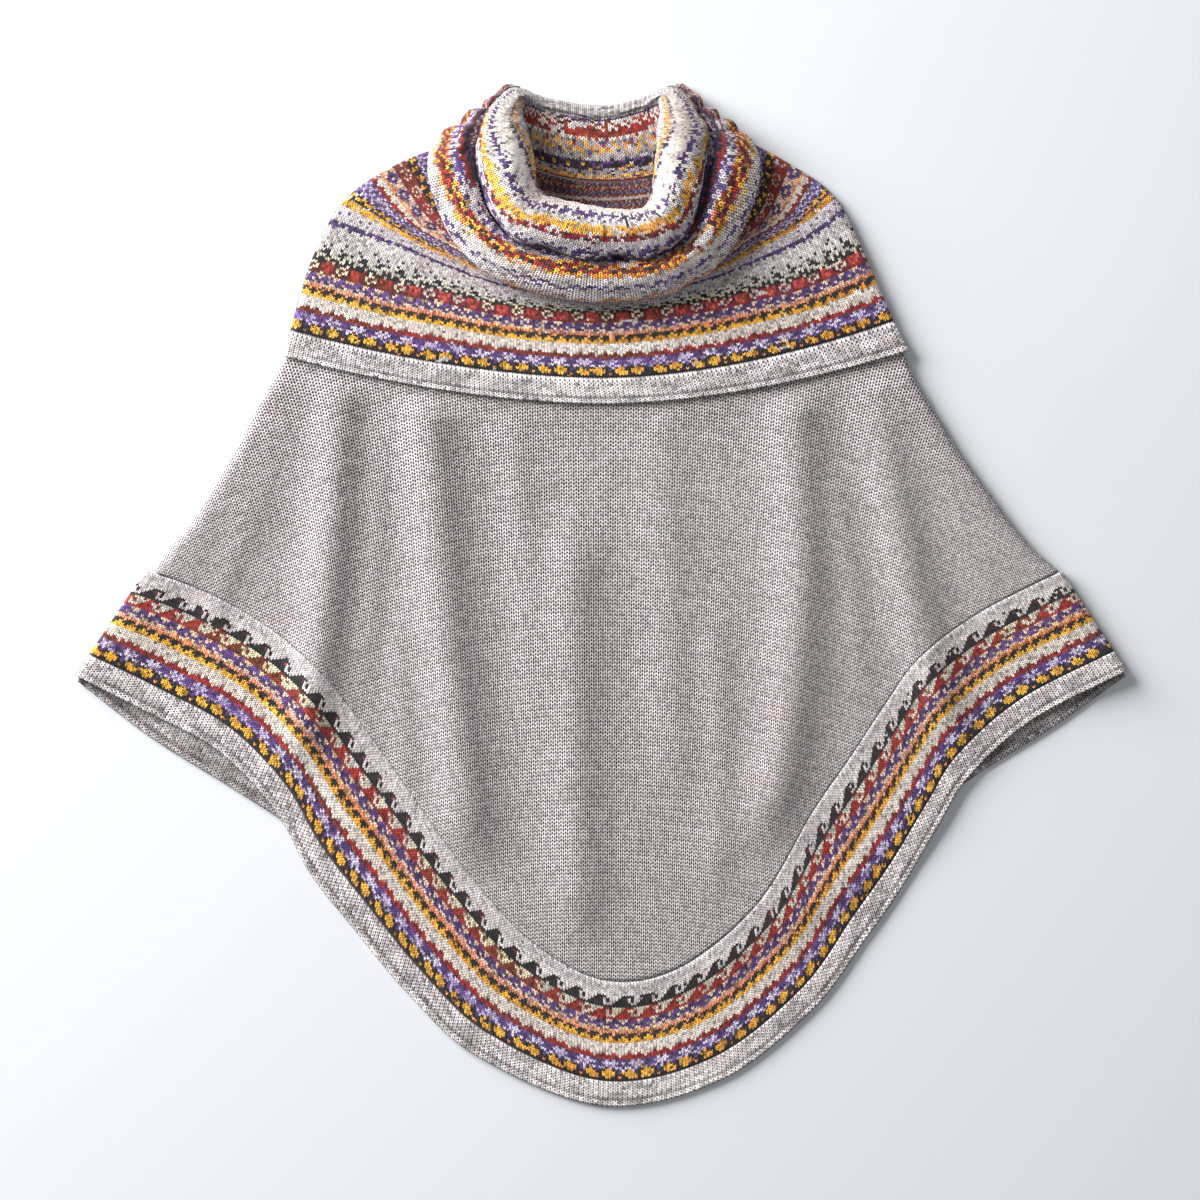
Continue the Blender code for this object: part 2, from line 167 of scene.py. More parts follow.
# How the front yoke's courses lie from the rib's top to the neck: each through a place on the left
# side's outline, three points, the middle, three points and a place on the right side's outline.
YOKE_COURSES = table(
    "number side_left x1 y1 x2 y2 x3 y3 middle x4 y4 x5 y5 x6 y6 side_right",
    (31, 2.0, -178, 272, -141, 265, -84, 252, 246, 88, 255, 144, 268, 178, 277, 2.0),
    (43, 2.53, -178, 302, -138, 286, -84, 268, 255, 88, 272, 139, 290, 181, 308, 2.6),
    (52, 3.0, -175, 315, -141, 298, -84, 276, 259, 91, 280, 136, 302, 173, 323, 3.0),
    (63, 3.53, -172, 328, -141, 308, -84, 281, 263, 91, 286, 132, 310, 164, 330, 3.48),
    (68, 3.69, -165, 330, -138, 310, -84, 284, 266, 91, 288, 129, 311, 156, 331, 3.66),
    (74, 3.9, -154, 332, -127, 311, -82, 288, 271, 88, 291, 121, 311, 145, 330, 3.95),
    (82, 4.1, -146, 336, -118, 313, -81, 292, 279, 84, 296, 115, 314, 140, 337, 4.28),
    (91, 4.32, -135, 343, -106, 316, -76, 298, 287, 80, 302, 104, 318, 130, 344, 4.6),
)
NECK_COURSE = 99
COURSE_POINTS = 9

# The turned-over collar, by stations round its opening.
STATIONS = table(
    "seam x y toward reach1 top1 crease reach2 top2 lies",
    (0.25, 2, 334, 270, 43, 60, 33, 35, 44, 15.5),
    (0.19, -31, 341, 236, 49, 60, 33, 36, 44, 15.5),
    (0.12, -53, 350, 208, 45, 58, 31, 40, 42, 15.0),
    (0.04, -61, 385, 187, 46, 54, 29, 44, 38, 14.5),
    (0.0, -66, 405, 184, 38, 48, 26, 32, 32, 12.5),
    (-0.03, -69, 416, 172, 29, 40, 20, 13, 21, 7.0),
    (-0.05, -69, 424, 155, 21, 32, 13, 5, 12, 4.5),
    (-0.07, -65, 428, 126, 16, 24, 8, 3, 6, 2.6),
    (-0.14, -46, 422, 100, 11, 12, 1.6, -30, 1.6, 1.6),
    (-0.25, 0, 415, 90, 11, 9.5, 1.6, -39, 1.6, 1.6),
    (-0.36, 36, 423, 80, 11, 12, 1.6, -30, 1.6, 1.6),
    (-0.43, 51, 429, 50, 16, 24, 8, 3, 6, 2.6),
    (-0.45, 53, 424, 24, 24, 32, 13, 6, 12, 4.5),
    (-0.47, 52, 414, 9, 33, 40, 20, 12, 22, 7.0),
    (-0.5, 51, 402, 3, 42, 48, 26, 25, 32, 12.5),
    (-0.54, 49, 380, -4, 43, 54, 29, 46, 38, 14.5),
    (-0.62, 43, 341, -28, 41, 58, 31, 39, 42, 15.0),
    (-0.69, 28, 333, -58, 44, 60, 33, 33, 44, 15.5),
)
COLLAR_TUCK = 17.0
COLLAR_TUCK_BACK = 3.0
SEAM_FLAT = 5.0
TUCK_STARTS = 8.0
TUCK_GROWS = 30.0

# How many courses the collar has between the knots of its sections, seam to free edge.
COLLAR_COURSES = (5, 9, 13, 12, 10, 8, 6, 4, 8, 4, 4, 5)
BACK_RIM_STATIONS = (6.8, 11.2)

# By how many courses the bands slant inward over the opening's rim, by station.
SLANT_STATIONS = (0, 1, 4, 7, 11, 14, 16.5, 18)
SLANT_COURSES = (0, 0, 12, 12, 12, 12, 0, 0)

# Soft bumps and troughs of the collar: where by station and knot, how far each way, how high.
COLLAR_PADS = table(
    "station knot along across height",
    (0.2, 6.0, 2.4, 0.2, -4.0),
    (-1.8, 6.0, 1.2, 0.2, -3.0),
    (2.9, 5.8, 1.8, 0.2, 3.5),
    (2.9, 5.35, 1.6, 0.16, -3.0),
    (2.7, 6.3, 1.2, 0.2, -4.0),
    (1.7, 6.75, 0.4, 0.4, 3.0),
    (1.2, 6.5, 0.25, 0.3, -1.8),
    (0.5, 6.5, 0.3, 0.3, 3.0),
    (0.05, 6.4, 0.2, 0.3, -1.5),
    (-0.5, 6.5, 0.3, 0.3, 2.6),
    (-1.1, 6.5, 0.25, 0.3, 1.8),
    (1.35, 5.5, 0.3, 0.45, 3.2),
    (0.8, 5.4, 0.25, 0.5, -4.2),
    (0.3, 5.6, 0.25, 0.45, 3.0),
    (-0.2, 5.4, 0.2, 0.5, -3.6),
    (-0.7, 5.6, 0.25, 0.45, 3.2),
    (1.1, 4.6, 0.5, 0.5, 1.6),
    (-0.6, 4.5, 0.6, 0.5, -1.4),
    (-1.7, 4.8, 0.5, 0.5, 2.0),
    (-2.6, 4.2, 0.5, 0.6, -1.8),
    (3.4, 4.5, 0.6, 0.5, -1.6),
    (2.2, 4.3, 0.5, 0.5, 1.5),
    (-2.2, 6.4, 0.9, 0.2, -3.0),
    (-3.0, 7.0, 0.6, 0.4, 2.0),
    (2.2, 7.6, 0.5, 0.4, -1.6),
    (-1.4, 7.9, 0.6, 0.5, 1.6),
    (4.05, 9.3, 0.2, 1.2, 2.5),
    (4.45, 9.3, 0.12, 1.4, -4.5),
    (4.85, 9.0, 0.18, 1.4, 3.0),
    (5.25, 9.0, 0.12, 1.6, -4.5),
    (5.75, 8.6, 0.25, 1.6, 2.0),
    (12.25, 8.6, 0.2, 1.6, 2.5),
    (12.65, 9.0, 0.12, 1.5, -3.5),
    (13.1, 9.0, 0.18, 1.4, 3.0),
    (13.45, 9.2, 0.1, 1.3, -3.5),
    (13.8, 9.3, 0.16, 1.2, 2.0),
    (14.1, 9.3, 0.1, 1.2, -2.0),
    (14.5, 9.3, 0.2, 1.2, 2.0),
)
COLLAR_LUMPS = 0.9
LUMP_PATCHES = (3, 7)
COLLAR_TONE = 1.09
COLLAR_STRAYS = 0.16
RIM_ORANGE = 0.7

# Stitches across the pieces, and the rise of each stitch's legs as a share of its course.
HEM_STITCHES = 420
HEM_STITCHES_BACK = 380
HEM_RIB_STITCHES = 284
YOKE_STITCHES = 190
YOKE_RIB_STITCHES = 130
COLLAR_STITCHES = 264
BODY_WALE = 4.08
BODY_COURSE = 3.22
BODY_FAN = 0.00035
BODY_BOW = 0.0008
BODY_SKEW = 7.5e-9
BODY_MIDDLE = -50.0
BODY_SKEW_BELOW = 130.0
LEG_RISE = 0.42
RIB_RELIEF = 0.3
RIB_COURSES = 9
RIB_PATCHES = (2, 3)
RIB_BLOTCHES = 0.32
RIB_TONE = 0.94
EDGING_COURSES = 2
EDGING_RELIEF = 0.4
GROOVE_RELIEF = -0.6
# Painted shade in the groove above the rib's edging.
GROOVE_PAINTED_SHADE = 0.55
# Painted shade on every inner face, for the inside of the garment where less light falls.
INSIDE_PAINTED_SHADE = 0.62

# The last courses of the hem band, up to the ridge, and the painted highlight and shade that mark its
# chain of loops.
RIDGE_RELIEF = (0.15, 0.35, 0.3, 0.0)
CHAIN_COURSES = [-3, -1]
CHAIN_PAINTED_LIGHT_AND_SHADE = (1.1, 0.8)

# Points along a course when its length is measured, and the step, in rows, that shows a slope.
FINE_POINTS = 401
NECK_POINTS = 25
SHORT_STEP = 0.05


def blend(share):
    """Smooth step from 0 to 1."""
    share = np.clip(share, 0.0, 1.0)
    return share * share * (3.0 - 2.0 * share)


def spline(knots, places):
    """Values at places, counted in knots, on a smooth curve through the rows of knots."""
    knots = np.asarray(knots, float)
    places = np.asarray(places, float)
    more = np.concatenate([[2 * knots[0] - knots[1]], knots, [2 * knots[-1] - knots[-2]]])
    first = np.clip(np.floor(places).astype(int), 0, len(knots) - 2)
    step = (places - first).reshape(places.shape + (1,) * (knots.ndim - 1))
    before, start, end, after = (more[first + number] for number in range(4))
    bow = 2 * before - 5 * start + 4 * end - after
    twist = 3 * (start - end) + after - before
    return start + 0.5 * step * (end - before + step * (bow + step * twist))


def column(rows, name):
    return [getattr(row, name) for row in rows]


def body_curve(sections):
    """A function (across, down) to the places of the body, down 0 (top), 1 (ridge) to 2 (hem)."""

    def curve(across, down):
        section = spline(sections, across * (len(sections) - 1))
        top, ridge, hem = section[..., 0:2], section[..., 2:4], section[..., 4:6]
        near_left = np.maximum(0.0, 1.0 - 2.0 * across) ** 4
        near_right = np.maximum(0.0, 2.0 * across - 1.0) ** 4
        if down <= 1.0:
            downs = column(SIDE_SAGS, "down")
            place = top + (ridge - top) * down
            place[..., 0] += near_left * np.interp(down, downs, column(SIDE_SAGS, "left_in"))
            place[..., 0] -= near_right * np.interp(down, downs, column(SIDE_SAGS, "right_in"))
            return place
        place = ridge + (hem - ridge) * (down - 1.0)
        flare = BAND_FLARE_LEFT * near_left**8 - BAND_FLARE_RIGHT * near_right**8
        place[..., 0] -= (2.0 - down) * flare
        return place

    return curve


def row_point(row, front, across):
    """Points on one row of the yoke, which bows down in the middle."""
    middle = row.front_y if front else row.back_y
    left = across < 0.5
    side_x = np.where(left, row.left_x, row.right_x)
    side_y = np.where(left, row.left_y, row.right_y)
    share = np.abs(1.0 - 2.0 * across)
    x = YOKE_CENTRE + (side_x - YOKE_CENTRE) * share
    y = middle + (side_y - middle) * share**row.bend
    return np.stack([x, y], axis=-1)


def yoke_curve(front):
    def curve(across, up):
        rows = [row_point(row, front, across) for row in YOKE_ROWS]
        return spline(rows, np.full(1, up))[0]

    return curve


def course_points(course):
    left = spline([(row.left_x, row.left_y) for row in YOKE_ROWS], np.full(1, course.side_left))[0]
    right = spline([(row.right_x, row.right_y) for row in YOKE_ROWS], np.full(1, course.side_right))[0]
    return np.array([
        left, (course.x1, course.y1), (course.x2, course.y2), (course.x3, course.y3),
        (YOKE_CENTRE, course.middle),
        (course.x4, course.y4), (course.x5, course.y5), (course.x6, course.y6), right,
    ])


def yoke_band_curve():
    """The front yoke's places by course number: bands that sweep up to both shoulders."""
    knots = np.linspace(0.0, 1.0, COURSE_POINTS)
    lines = [row_point(YOKE_ROWS[1], True, knots)]
    lines += [course_points(course) for course in YOKE_COURSES]
    lines += [row_point(YOKE_ROWS[NECK_ROW], True, knots)]
    numbers = [0.0] + column(YOKE_COURSES, "number") + [NECK_COURSE]
    lines = np.array(lines)

    def curve(across, number):
        place = np.interp(number, numbers, np.arange(len(numbers)))
        first = min(int(place), len(lines) - 2)
        points = lines[first] + (lines[first + 1] - lines[first]) * (place - first)
        line = spline(points, across * (len(points) - 1))
        # The first course lies exactly along the rib's top.
        near_rib = max(0.0, 1.0 - number / numbers[1])
        rib_top = row_point(YOKE_ROWS[1], True, across) - spline(lines[0], across * (len(knots) - 1))
        return line + rib_top * near_rib

    return curve


def back_hem_y(x):
    return np.interp(x, column(BACK_SECTIONS, "hem_x"), column(BACK_SECTIONS, "hem_y"))


def under_yoke(front, x, y):
    """1 below the yoke's rib, falling to 0 a little outside it."""
    rib = YOKE_ROWS[0]
    middle = rib.front_y if front else rib.back_y
    side_x = np.where(x > YOKE_CENTRE, rib.right_x, rib.left_x)
    share = np.minimum((x - YOKE_CENTRE) / (side_x - YOKE_CENTRE), 1.0)
    edge = middle + (rib.right_y - middle) * share**rib.bend
    return blend((y - edge + YOKE_REACH) / YOKE_SETTLES)


def fold_rise(x, y):
    """How far the soft folds lift the front here."""
    rise = np.zeros_like(x)
    for fold in FOLDS:
        middle = (y - fold.y1) / (fold.y3 - fold.y1)
        line = (
            fold.x1 * (1 - middle) * (1 - 2 * middle)
            + fold.x2 * 4 * middle * (1 - middle)
            + fold.x3 * middle * (2 * middle - 1)
        )
        fade = blend((fold.y1 + FOLD_FADES - y) / FOLD_FADES) * blend((y - fold.y3) / FOLD_FADES)
        rise += fold.height * fade * np.exp(-(((x - line) / fold.reach) ** 2))
    return rise


def near_fold(inset):
    """1 at a side's fold, falling to 0 toward the middle of the piece."""
    return np.exp(-(((inset - FOLD_REACH) / FOLD_SETTLES) ** 2))


def side_round(inset, start, end, level):
    """The level, with the round fold along a side: from start at the outermost line to end."""
    share = 1.0 - (1.0 - np.clip(inset / FOLD_REACH, 0.0, 1.0)) ** 2
    return np.where(inset < FOLD_REACH, start + (end - start) * np.sqrt(share), level)


def folded(level, inset, leg, fold_height, side, end):
    """The level of a face with its side folds, above the side seam (side 1) or below it (-1)."""
    seam_height = fold_height / 2 + side * SEAM_GAP / 2
    return np.where(leg, seam_height, side_round(inset, seam_height + side * FOLD_LEG, end, level))


def front_height(xy, inset, leg):
    """The height of the front's outer face, from the side's fold to the middle."""
    x, y = xy[..., 0], xy[..., 1]
    pressed = under_yoke(True, x, y)
    fold_top = FOLD_HEIGHT - (FOLD_HEIGHT - FOLD_HEIGHT_UNDER_YOKE) * pressed
    on_back = blend((y - back_hem_y(x) + BACK_HEM_CLEAR + BACK_HEM_SETTLES) / BACK_HEM_SETTLES)
    level = FRONT_ON_SURFACE + (FRONT_LEVEL - FRONT_ON_SURFACE) * on_back
    level += (FRONT_UNDER_YOKE - FRONT_LEVEL) * pressed
    near_side = near_fold(inset)
    folds = fold_rise(x, y) * (1.0 - pressed) * (1.0 - near_side)
    level = level + (fold_top - level) * near_side + folds
    return folded(level, inset, leg, FOLD_HEIGHT, 1, fold_top)


def back_height(xy, inset, leg):
    """The height of the back's lower face."""
    lift = BACK_LIFT_UNDER_YOKE * under_yoke(False, xy[..., 0], xy[..., 1])
    return folded(lift, inset, leg, FOLD_HEIGHT, -1, lift)


def yoke_level(y_side):
    """(level, fold_height) where the side of the yoke is at y_side."""
    sides = column(YOKE_ROWS, "left_y")
    return [np.interp(y_side, sides, column(YOKE_ROWS, name)) for name in ("level", "fold_height")]


def yoke_front_height(xy, inset, leg):
    left_y = np.minimum(xy[:, :1, 1], YOKE_ROWS[NECK_ROW].left_y) + np.zeros_like(inset)
    right_y = xy[:, -1:, 1] + np.zeros_like(inset)
    share = np.linspace(0.0, 1.0, inset.shape[1])[None, :]
    level, fold_top = yoke_level(left_y + (right_y - left_y) * share)
    level = level + (fold_top - level) * near_fold(inset)
    return folded(level, inset, leg, fold_top, 1, fold_top)


def yoke_back_height(xy, inset, leg):
    _, fold_top = yoke_level(xy[:, :1, 1] + np.zeros_like(inset))
    return folded(0.0, inset, leg, fold_top, -1, 0.0)


def lay_sheet(curve, rows, shares, height, stitched=True):
    """Points of a sheet, row by row from its lower edge.

    With stitched, the lines are evenly spaced along each row, and the middles of the stitches lie
    lower by LEG_RISE of a course. Otherwise they are spaced as the curve has them, and level.
    """
    fine = np.linspace(0.0, 1.0, FINE_POINTS)
    shares = np.concatenate([[0.0], shares, [1.0]])
    leg = np.zeros((len(rows), len(shares)), bool)
    leg[:, [0, -1]] = True
    xy = np.zeros(leg.shape + (2,))
    inset = np.zeros(leg.shape)
    for number, row in enumerate(rows):
        line = curve(fine, row)
        run = np.concatenate([[0.0], np.cumsum(np.linalg.norm(np.diff(line, axis=0), axis=1))])
        across = np.interp(shares * run[-1], run, fine) if stitched else shares
        inset[number] = np.interp(across, fine, np.minimum(run, run[-1] - run))
        xy[number] = curve(across, row)
    rise = np.gradient(xy, axis=0) * (LEG_RISE if stitched else 0.0)
    rise[[0, -1]] = 0.0
    rise[:, [0, 1, -2, -1]] = 0.0
    xy[:, 1::2] += rise[:, 1::2]
    xy[:, 0::2] -= rise[:, 0::2]
    z = height(xy, inset, leg)
    return np.concatenate([xy, z[..., None]], axis=-1)


def face_normals(points, closed):
    """Unit normals of a grid of points: columns run one way, rows the other."""
    if closed:
        across = np.roll(points, -1, axis=1) - np.roll(points, 1, axis=1)
    else:
        across = np.gradient(points, axis=1)
    normal = np.cross(across, np.gradient(points, axis=0))
    size = np.linalg.norm(normal, axis=-1, keepdims=True)
    return normal / np.maximum(size, 1e-9)


def thinned(count, every):
    """Every few lines of a grid, with all of those beside its edges."""
    if every <= 1:
        return np.arange(count)
    edge = np.arange(3)
    return np.unique(np.concatenate([edge, np.arange(3, count - 3, every), count - 3 + edge]))


def mesh_piece(name, points, faces, uvs, colours, soft, material):
    mesh = bpy.data.meshes.new(name)
    loops = np.concatenate([face.ravel() for face in faces])
    sizes = np.concatenate([np.full(len(face), face.shape[1]) for face in faces])
    starts = np.concatenate([[0], np.cumsum(sizes)[:-1]])
    mesh.vertices.add(len(points))
    mesh.vertices.foreach_set("co", (points * MM).astype(np.float32).ravel())
    mesh.loops.add(len(loops))
    mesh.loops.foreach_set("vertex_index", loops.astype(np.int32))
    mesh.polygons.add(len(sizes))
    mesh.polygons.foreach_set("loop_start", starts.astype(np.int32))
    mesh.polygons.foreach_set("use_smooth", np.concatenate(soft))
    mesh.update(calc_edges=True)
    places = np.concatenate([uv.reshape(-1, 2) for uv in uvs])
    mesh.uv_layers.new(name="stitches").data.foreach_set("uv", places.astype(np.float32).ravel())
    yarn = mesh.color_attributes.new("yarn", "FLOAT_COLOR", "CORNER")
    per_loop = np.concatenate([
        np.repeat(colour, face.shape[1], axis=0) for colour, face in zip(colours, faces)
    ])
    full = np.concatenate([per_loop, np.ones((len(per_loop), 1))], axis=1)
    yarn.data.foreach_set("color", full.astype(np.float32).ravel())
    mesh.materials.append(material)
    piece = bpy.data.objects.new(name, mesh)
    bpy.context.scene.collection.objects.link(piece)
    return piece


def shell(
    name, face, wall, colours, material, every,
    faces_up=True, closed=False, stitches=None, free_edge=False,
):
    """A knitted wall: a fine outer face, a coarser inner face one wall behind it that is darkened by
    painted shade, and its rims.

    colours has a row for each course and a colour for each leg, which is one column of faces wide.
    every says which rows and lines of the outer face the inner one has. stitches says where each
    point lies in stitches and courses. Linked edges are crisp, and a free_edge below is smooth-shaded.
    """
    high, wide = face.shape[:2]
    span = wide if closed else wide - 1
    first = 0 if closed else 1
    if stitches is None:
        places, courses = np.meshgrid(np.arange(span + 1), np.arange(high))
        stitches = np.stack([(places - first) / 2.0, courses * 1.0], axis=-1)
    normal = face_normals(face, closed)
    if not faces_up:
        normal = -normal
    in_rows = thinned(high, every[0])
    in_columns = np.arange(0, wide, every[1]) if closed else thinned(wide, every[1])
    in_ends = np.append(in_columns, wide) if closed else in_columns
    inner_points = (face - normal * wall)[np.ix_(in_rows, in_columns)]
    points = np.concatenate([face.reshape(-1, 3), inner_points.reshape(-1, 3)])
    points[:, 2] = np.maximum(points[:, 2], 0.0)
    faces, uvs, tones, softness = [], [], [], []

    def outer(row, place):
        return row * wide + place % wide

    def inner(row, number):
        return high * wide + row * len(in_columns) + number % len(in_columns)

    def add(ids, rows, places, tone=1.0, soft=True):
        order = slice(None) if faces_up else slice(None, None, -1)
        faces.append(ids[:, order])
        uvs.append(stitches[rows, places][:, order])
        course = np.minimum(rows.min(axis=1), colours.shape[0] - 1)
        leg = np.clip(places.min(axis=1) - first, 0, colours.shape[1] - 1)
        tones.append(tone * colours[course, leg])
        softness.append(np.full(len(ids), soft))

    def quads(rows, places, corners):
        row, place = (grid.reshape(-1, 1) for grid in np.meshgrid(rows, places, indexing="ij"))
        up, over = np.array(corners).T[:, None]
        return row + up, place + over

    def rim(ends, along_row, edge, in_edge, turned, soft):
        """The wall's edge, one face for each step of the inner face."""
        order = slice(None, None, -1) if turned else slice(None)
        for number in range(len(ends) - 1):
            run = np.arange(ends[number], ends[number + 1] + 1)
            behind = np.array([number + 1, number])
            if along_row:
                ids = np.concatenate([outer(edge, run), inner(in_edge, behind)])
            else:
                ids = np.concatenate([outer(run, edge), inner(behind, in_edge)])
            along = np.concatenate([run, ends[behind]])
            rows, places = (along * 0 + edge, along) if along_row else (along, along * 0 + edge)
            add(ids[None, order], rows[None, order], places[None, order], soft=soft)

    row, place = quads(np.arange(high - 1), np.arange(span), ((0, 0), (0, 1), (1, 1), (1, 0)))
    add(outer(row, place), row, place)
    in_steps = np.arange(len(in_rows) - 1), np.arange(len(in_ends) - 1)
    row, place = quads(*in_steps, ((0, 0), (1, 0), (1, 1), (0, 1)))
    # The inner face is darkened by painted shade.
    add(inner(row, place), in_rows[row], in_ends[place], INSIDE_PAINTED_SHADE)
    rim(in_ends, True, 0, 0, True, free_edge)
    rim(in_ends, True, high - 1, len(in_rows) - 1, False, False)
    if not closed:
        rim(in_rows, False, 0, 0, False, True)
        rim(in_rows, False, wide - 1, len(in_columns) - 1, True, True)
    return mesh_piece(name, points, faces, uvs, tones, softness, material)


# Yarns by letter, each with the three tones that it drifts through along a course.
YARNS = {
    "g": ((172, 164, 163), (154, 146, 146), (190, 181, 180)),
    "p": ((224, 213, 211), (206, 196, 195), (236, 226, 223)),
    "w": ((242, 230, 221), (229, 213, 200), (249, 240, 234)),
    "c": ((218, 206, 182), (202, 196, 186), (226, 212, 172)),
    "k": ((32, 30, 33), (46, 40, 42), (26, 26, 29)),
    "m": ((96, 26, 34), (140, 40, 62), (82, 38, 36)),
    "r": ((144, 38, 28), (162, 46, 36), (116, 58, 32)),
    "h": ((196, 70, 62), (208, 92, 80), (176, 54, 48)),
    "b": ((226, 190, 164), (214, 190, 172), (234, 198, 152)),
    "s": ((232, 136, 104), (228, 150, 122), (234, 144, 82)),
    "v": ((98, 64, 132), (80, 56, 106), (114, 80, 148)),
    "l": ((188, 170, 208), (214, 202, 222), (168, 148, 198)),
    "y": ((230, 160, 40), (238, 180, 66), (214, 140, 44)),
    "o": ((232, 138, 70), (224, 152, 92), (222, 116, 60)),
}

# Charts of the bands, written as they are seen: the lowest line is the one nearest the rib.
LEAVES = (
    "kykvkkyykkvl",
    "yyykkyyyykvk",
    "yyyykyyyokkk",
    "kyyokkyykkok",
    "kkkkkkkkkkkk",
)
STARS = (
    "vvlvlvvv",
    "vlllllvv",
    "vvlllvvv",
    "llvlvllv",
)
POINTS_ON_WHITE = (
    "wwpwwgww",
    "gwwwpwww",
    "wwgwwwcw",
    "pwwcwwgw",
    "wrwwwgrw",
    "rrrwrrmr",
    "mrrrrrrr",
)
ZIGZAG = (
    "osssosss",
    "kkokkksk",
    "kykkkykk",
    "yyykyyyk",
    "yyyyyyyy",
)
STEPS = (
    "bvvvbbvvbb",
    "vvvvbvvvvb",
    "vvbvvvvbvv",
    "bvvbbvvvbb",
    "sbbsbsbbsb",
)
RED_WAVES = (
    "cccrrrcc",
    "ccrrccrc",
    "crrrrcrc",
    "rrrrrccc",
    "rrrmrrrr",
)
RED_CURLS = (
    "hhrhmmccmm",
    "hrhhmcmmcm",
    "hhhrmcmccm",
    "rhhrmmcmmm",
    "rrrrmmmmmm",
)
BLACK_WAVES = (
    "pppkkkpp",
    "ppkkmpkp",
    "pkkkkpkp",
    "kkkkkppp",
    "kkkkkkkk",
)
CREAM_BLOTCHES = (
    "pppkpppcpkppp",
    "kpcckkpccpkkc",
    "ccckkkccckkcp",
    "ckccckkccccck",
    "kkckkcckkkcck",
    "ckkkkkckckkkk",
)
DOTS_ON_PALE = (
    "vvvkvvvpvv",
    "pvvvkvvvvk",
    "ppvpppvppp",
    "ppppgpppgp",
    "pgppppgppp",
    "ppgppppppg",
    "gpppppgppp",
    "pppkpppppp",
    "pppppgppkp",
)
PALE_AND_LILAC = (
    "ppplpppp",
    "plppppvp",
    "pppvpppl",
    "gpppplpp",
    "lppgpppp",
)
GOLD_AND_INK = (
    "vlkvlvkl",
    "kyykyylk",
    "yykyyyky",
    "kkvkklkv",
    "yyoyyyyo",
    "yypyyyyy",
)
LILAC_MOTTLE = (
    "vlvvlvgv",
    "lvglvvlv",
    "vlvlvgvv",
    "glvvllvl",
    "vvllvvlv",
)
RED_POINTS = (
    "wwgwwwww",
    "wwwwwwgw",
    "wwrwwwrw",
    "rrrrwrrr",
    "mrrrmrrr",
)
DIAMONDS = (
    "bsbvvbbb",
    "bbvvvvbs",
    "bvvbbvvb",
    "sbvvvvbb",
    "bsbvvbsb",
    "oooooooo",
)
ROSETTES = (
    "mmrrmmrr",
    "rrcrcrmr",
    "rcrmrcrr",
    "mrrcrrrr",
    "rcrmrcrr",
    "rrcrcrrr",
    "rrrrrrrm",
    "mrmmrmmr",
)
GOLD_ON_BLACK = (
    "kkykkkkk",
    "kyyykkok",
    "kkyykkyk",
    "kykkkyyk",
    "kkkkkkyk",
)
PALE = ("pppppppp",)
RED_OVER_WHITE = (
    "rrwrrrwr",
    "orrrorro",
    "vgvvgvgv",
    "gvgvvgvv",
    "vvgvvgvg",
    "rrorrror",
    "rwrrwrro",
    "wwwwwwww",
    "wcwwwcww",
    "vvvlvvvv",
    "vlvvvvlv",
    "vvvvlvvv",
)
GOLD_OVER_RED = (
    "wwgwyyww",
    "yoyyoyyw",
    "gygygygy",
    "rrorrrwr",
    "rwrrrorr",
    "vgvvlvvg",
    "vvgvvvgv",
    "yvyyvyyo",
)
RIDGE = ("pppppppp", "pppppppp")

# Band by band upward from the rib. The back yoke's list is four courses longer than the yoke.
LOWER_BANDS = (LEAVES, STARS, POINTS_ON_WHITE, ZIGZAG, STEPS)
HEM_BANDS = LOWER_BANDS + (RED_WAVES, BLACK_WAVES, PALE * 4, RIDGE)
YOKE_BANDS = LOWER_BANDS + (
    RED_CURLS, CREAM_BLOTCHES, DOTS_ON_PALE, PALE_AND_LILAC, ("yyopyyyo",), GOLD_AND_INK, LILAC_MOTTLE,
    RED_POINTS, DIAMONDS, ROSETTES, GOLD_ON_BLACK, LILAC_MOTTLE, ROSETTES[1:],
)
BACK_YOKE_BANDS = YOKE_BANDS[:-4] + (RED_OVER_WHITE, RED_OVER_WHITE[:9], GOLD_OVER_RED)


def charted(*bands):
    """Bands of courses, a word each."""
    return [band.split() for band in bands]


# The collar, band by band outward from its neck seam: up the inside to the opening's rim, over the
# rim, and over both rolls to the free edge.
COLLAR_INSIDE = charted(
    "rrorrrrr rrmrorrr",
    "ywyywwyw gyyvyygy yygyyygo",
    "ggkggggg gkpggkpg gggggggg",
    "kkvykkvk vkkkvyvk kykkvkkk vvkvvkkv",
    "ggpggkgg gggggggg",
    "ggyggvgy gyyygvyg ygoggygg yrggyggo gvggyggg wgowwgwg",
    "rrmrorrr rmrrrrmr rwrrmwrr wrrwwrrw rwrwrgwr wwrgwwrw",
    "vvkvvvkv",
)
COLLAR_RIM = charted(
    "pplpppwp wplpwppl plppgpwp wppgpplp pwplpppw gppwplpp",
    "yypyyoyp yyppoyyy pyoyypyp",
    "kvpkvvpk vppvpppk",
    "wwwwpwww",
)
COLLAR_OUTSIDE = charted(
    "pwwpwwww gwwwpwww wwgwwwpw pwwwwpww wgpwwwgw",
    "wvwwwvww vvwvkvwv vvvwvvvw",
    "pvpppvpp pgpkpppg gpppgppp",
    "yypyyyyp yoygyoyy yyyyoyyo pyyoypyp",
    "mrkmprmm mmrprkpr",
    "pwpwpgpp pwppppwp",
    "plpvpplp vvppvvlp lvvkvvvl pvgplvvp",
    "gpvpgpvv vgvvkgvv kvkvvkvk kkvkkkvk kvkkkkkk",
    "mrmrrmrk rmrrmrmr",
    "vgvvpvgvlv lvvwvlvgvv pvglvvpvvw gvlwvplvlg",
    "oorgoyor",
    "ryrrkmyk kmyyrkry rrkmyrrk mykrrymr",
    "yoyoogyo poyywgow",
    "wwwpwwww wwgwpwww wpwwwwpw",
    "vlpvgpvl plvgvplv",
    "plppvgpp pppgpppp pplpppgp ppppgppp",
    "opoooppo poopooop",
    "gppgppgp pgpppgpp" + 9 * " gggggggg",
)


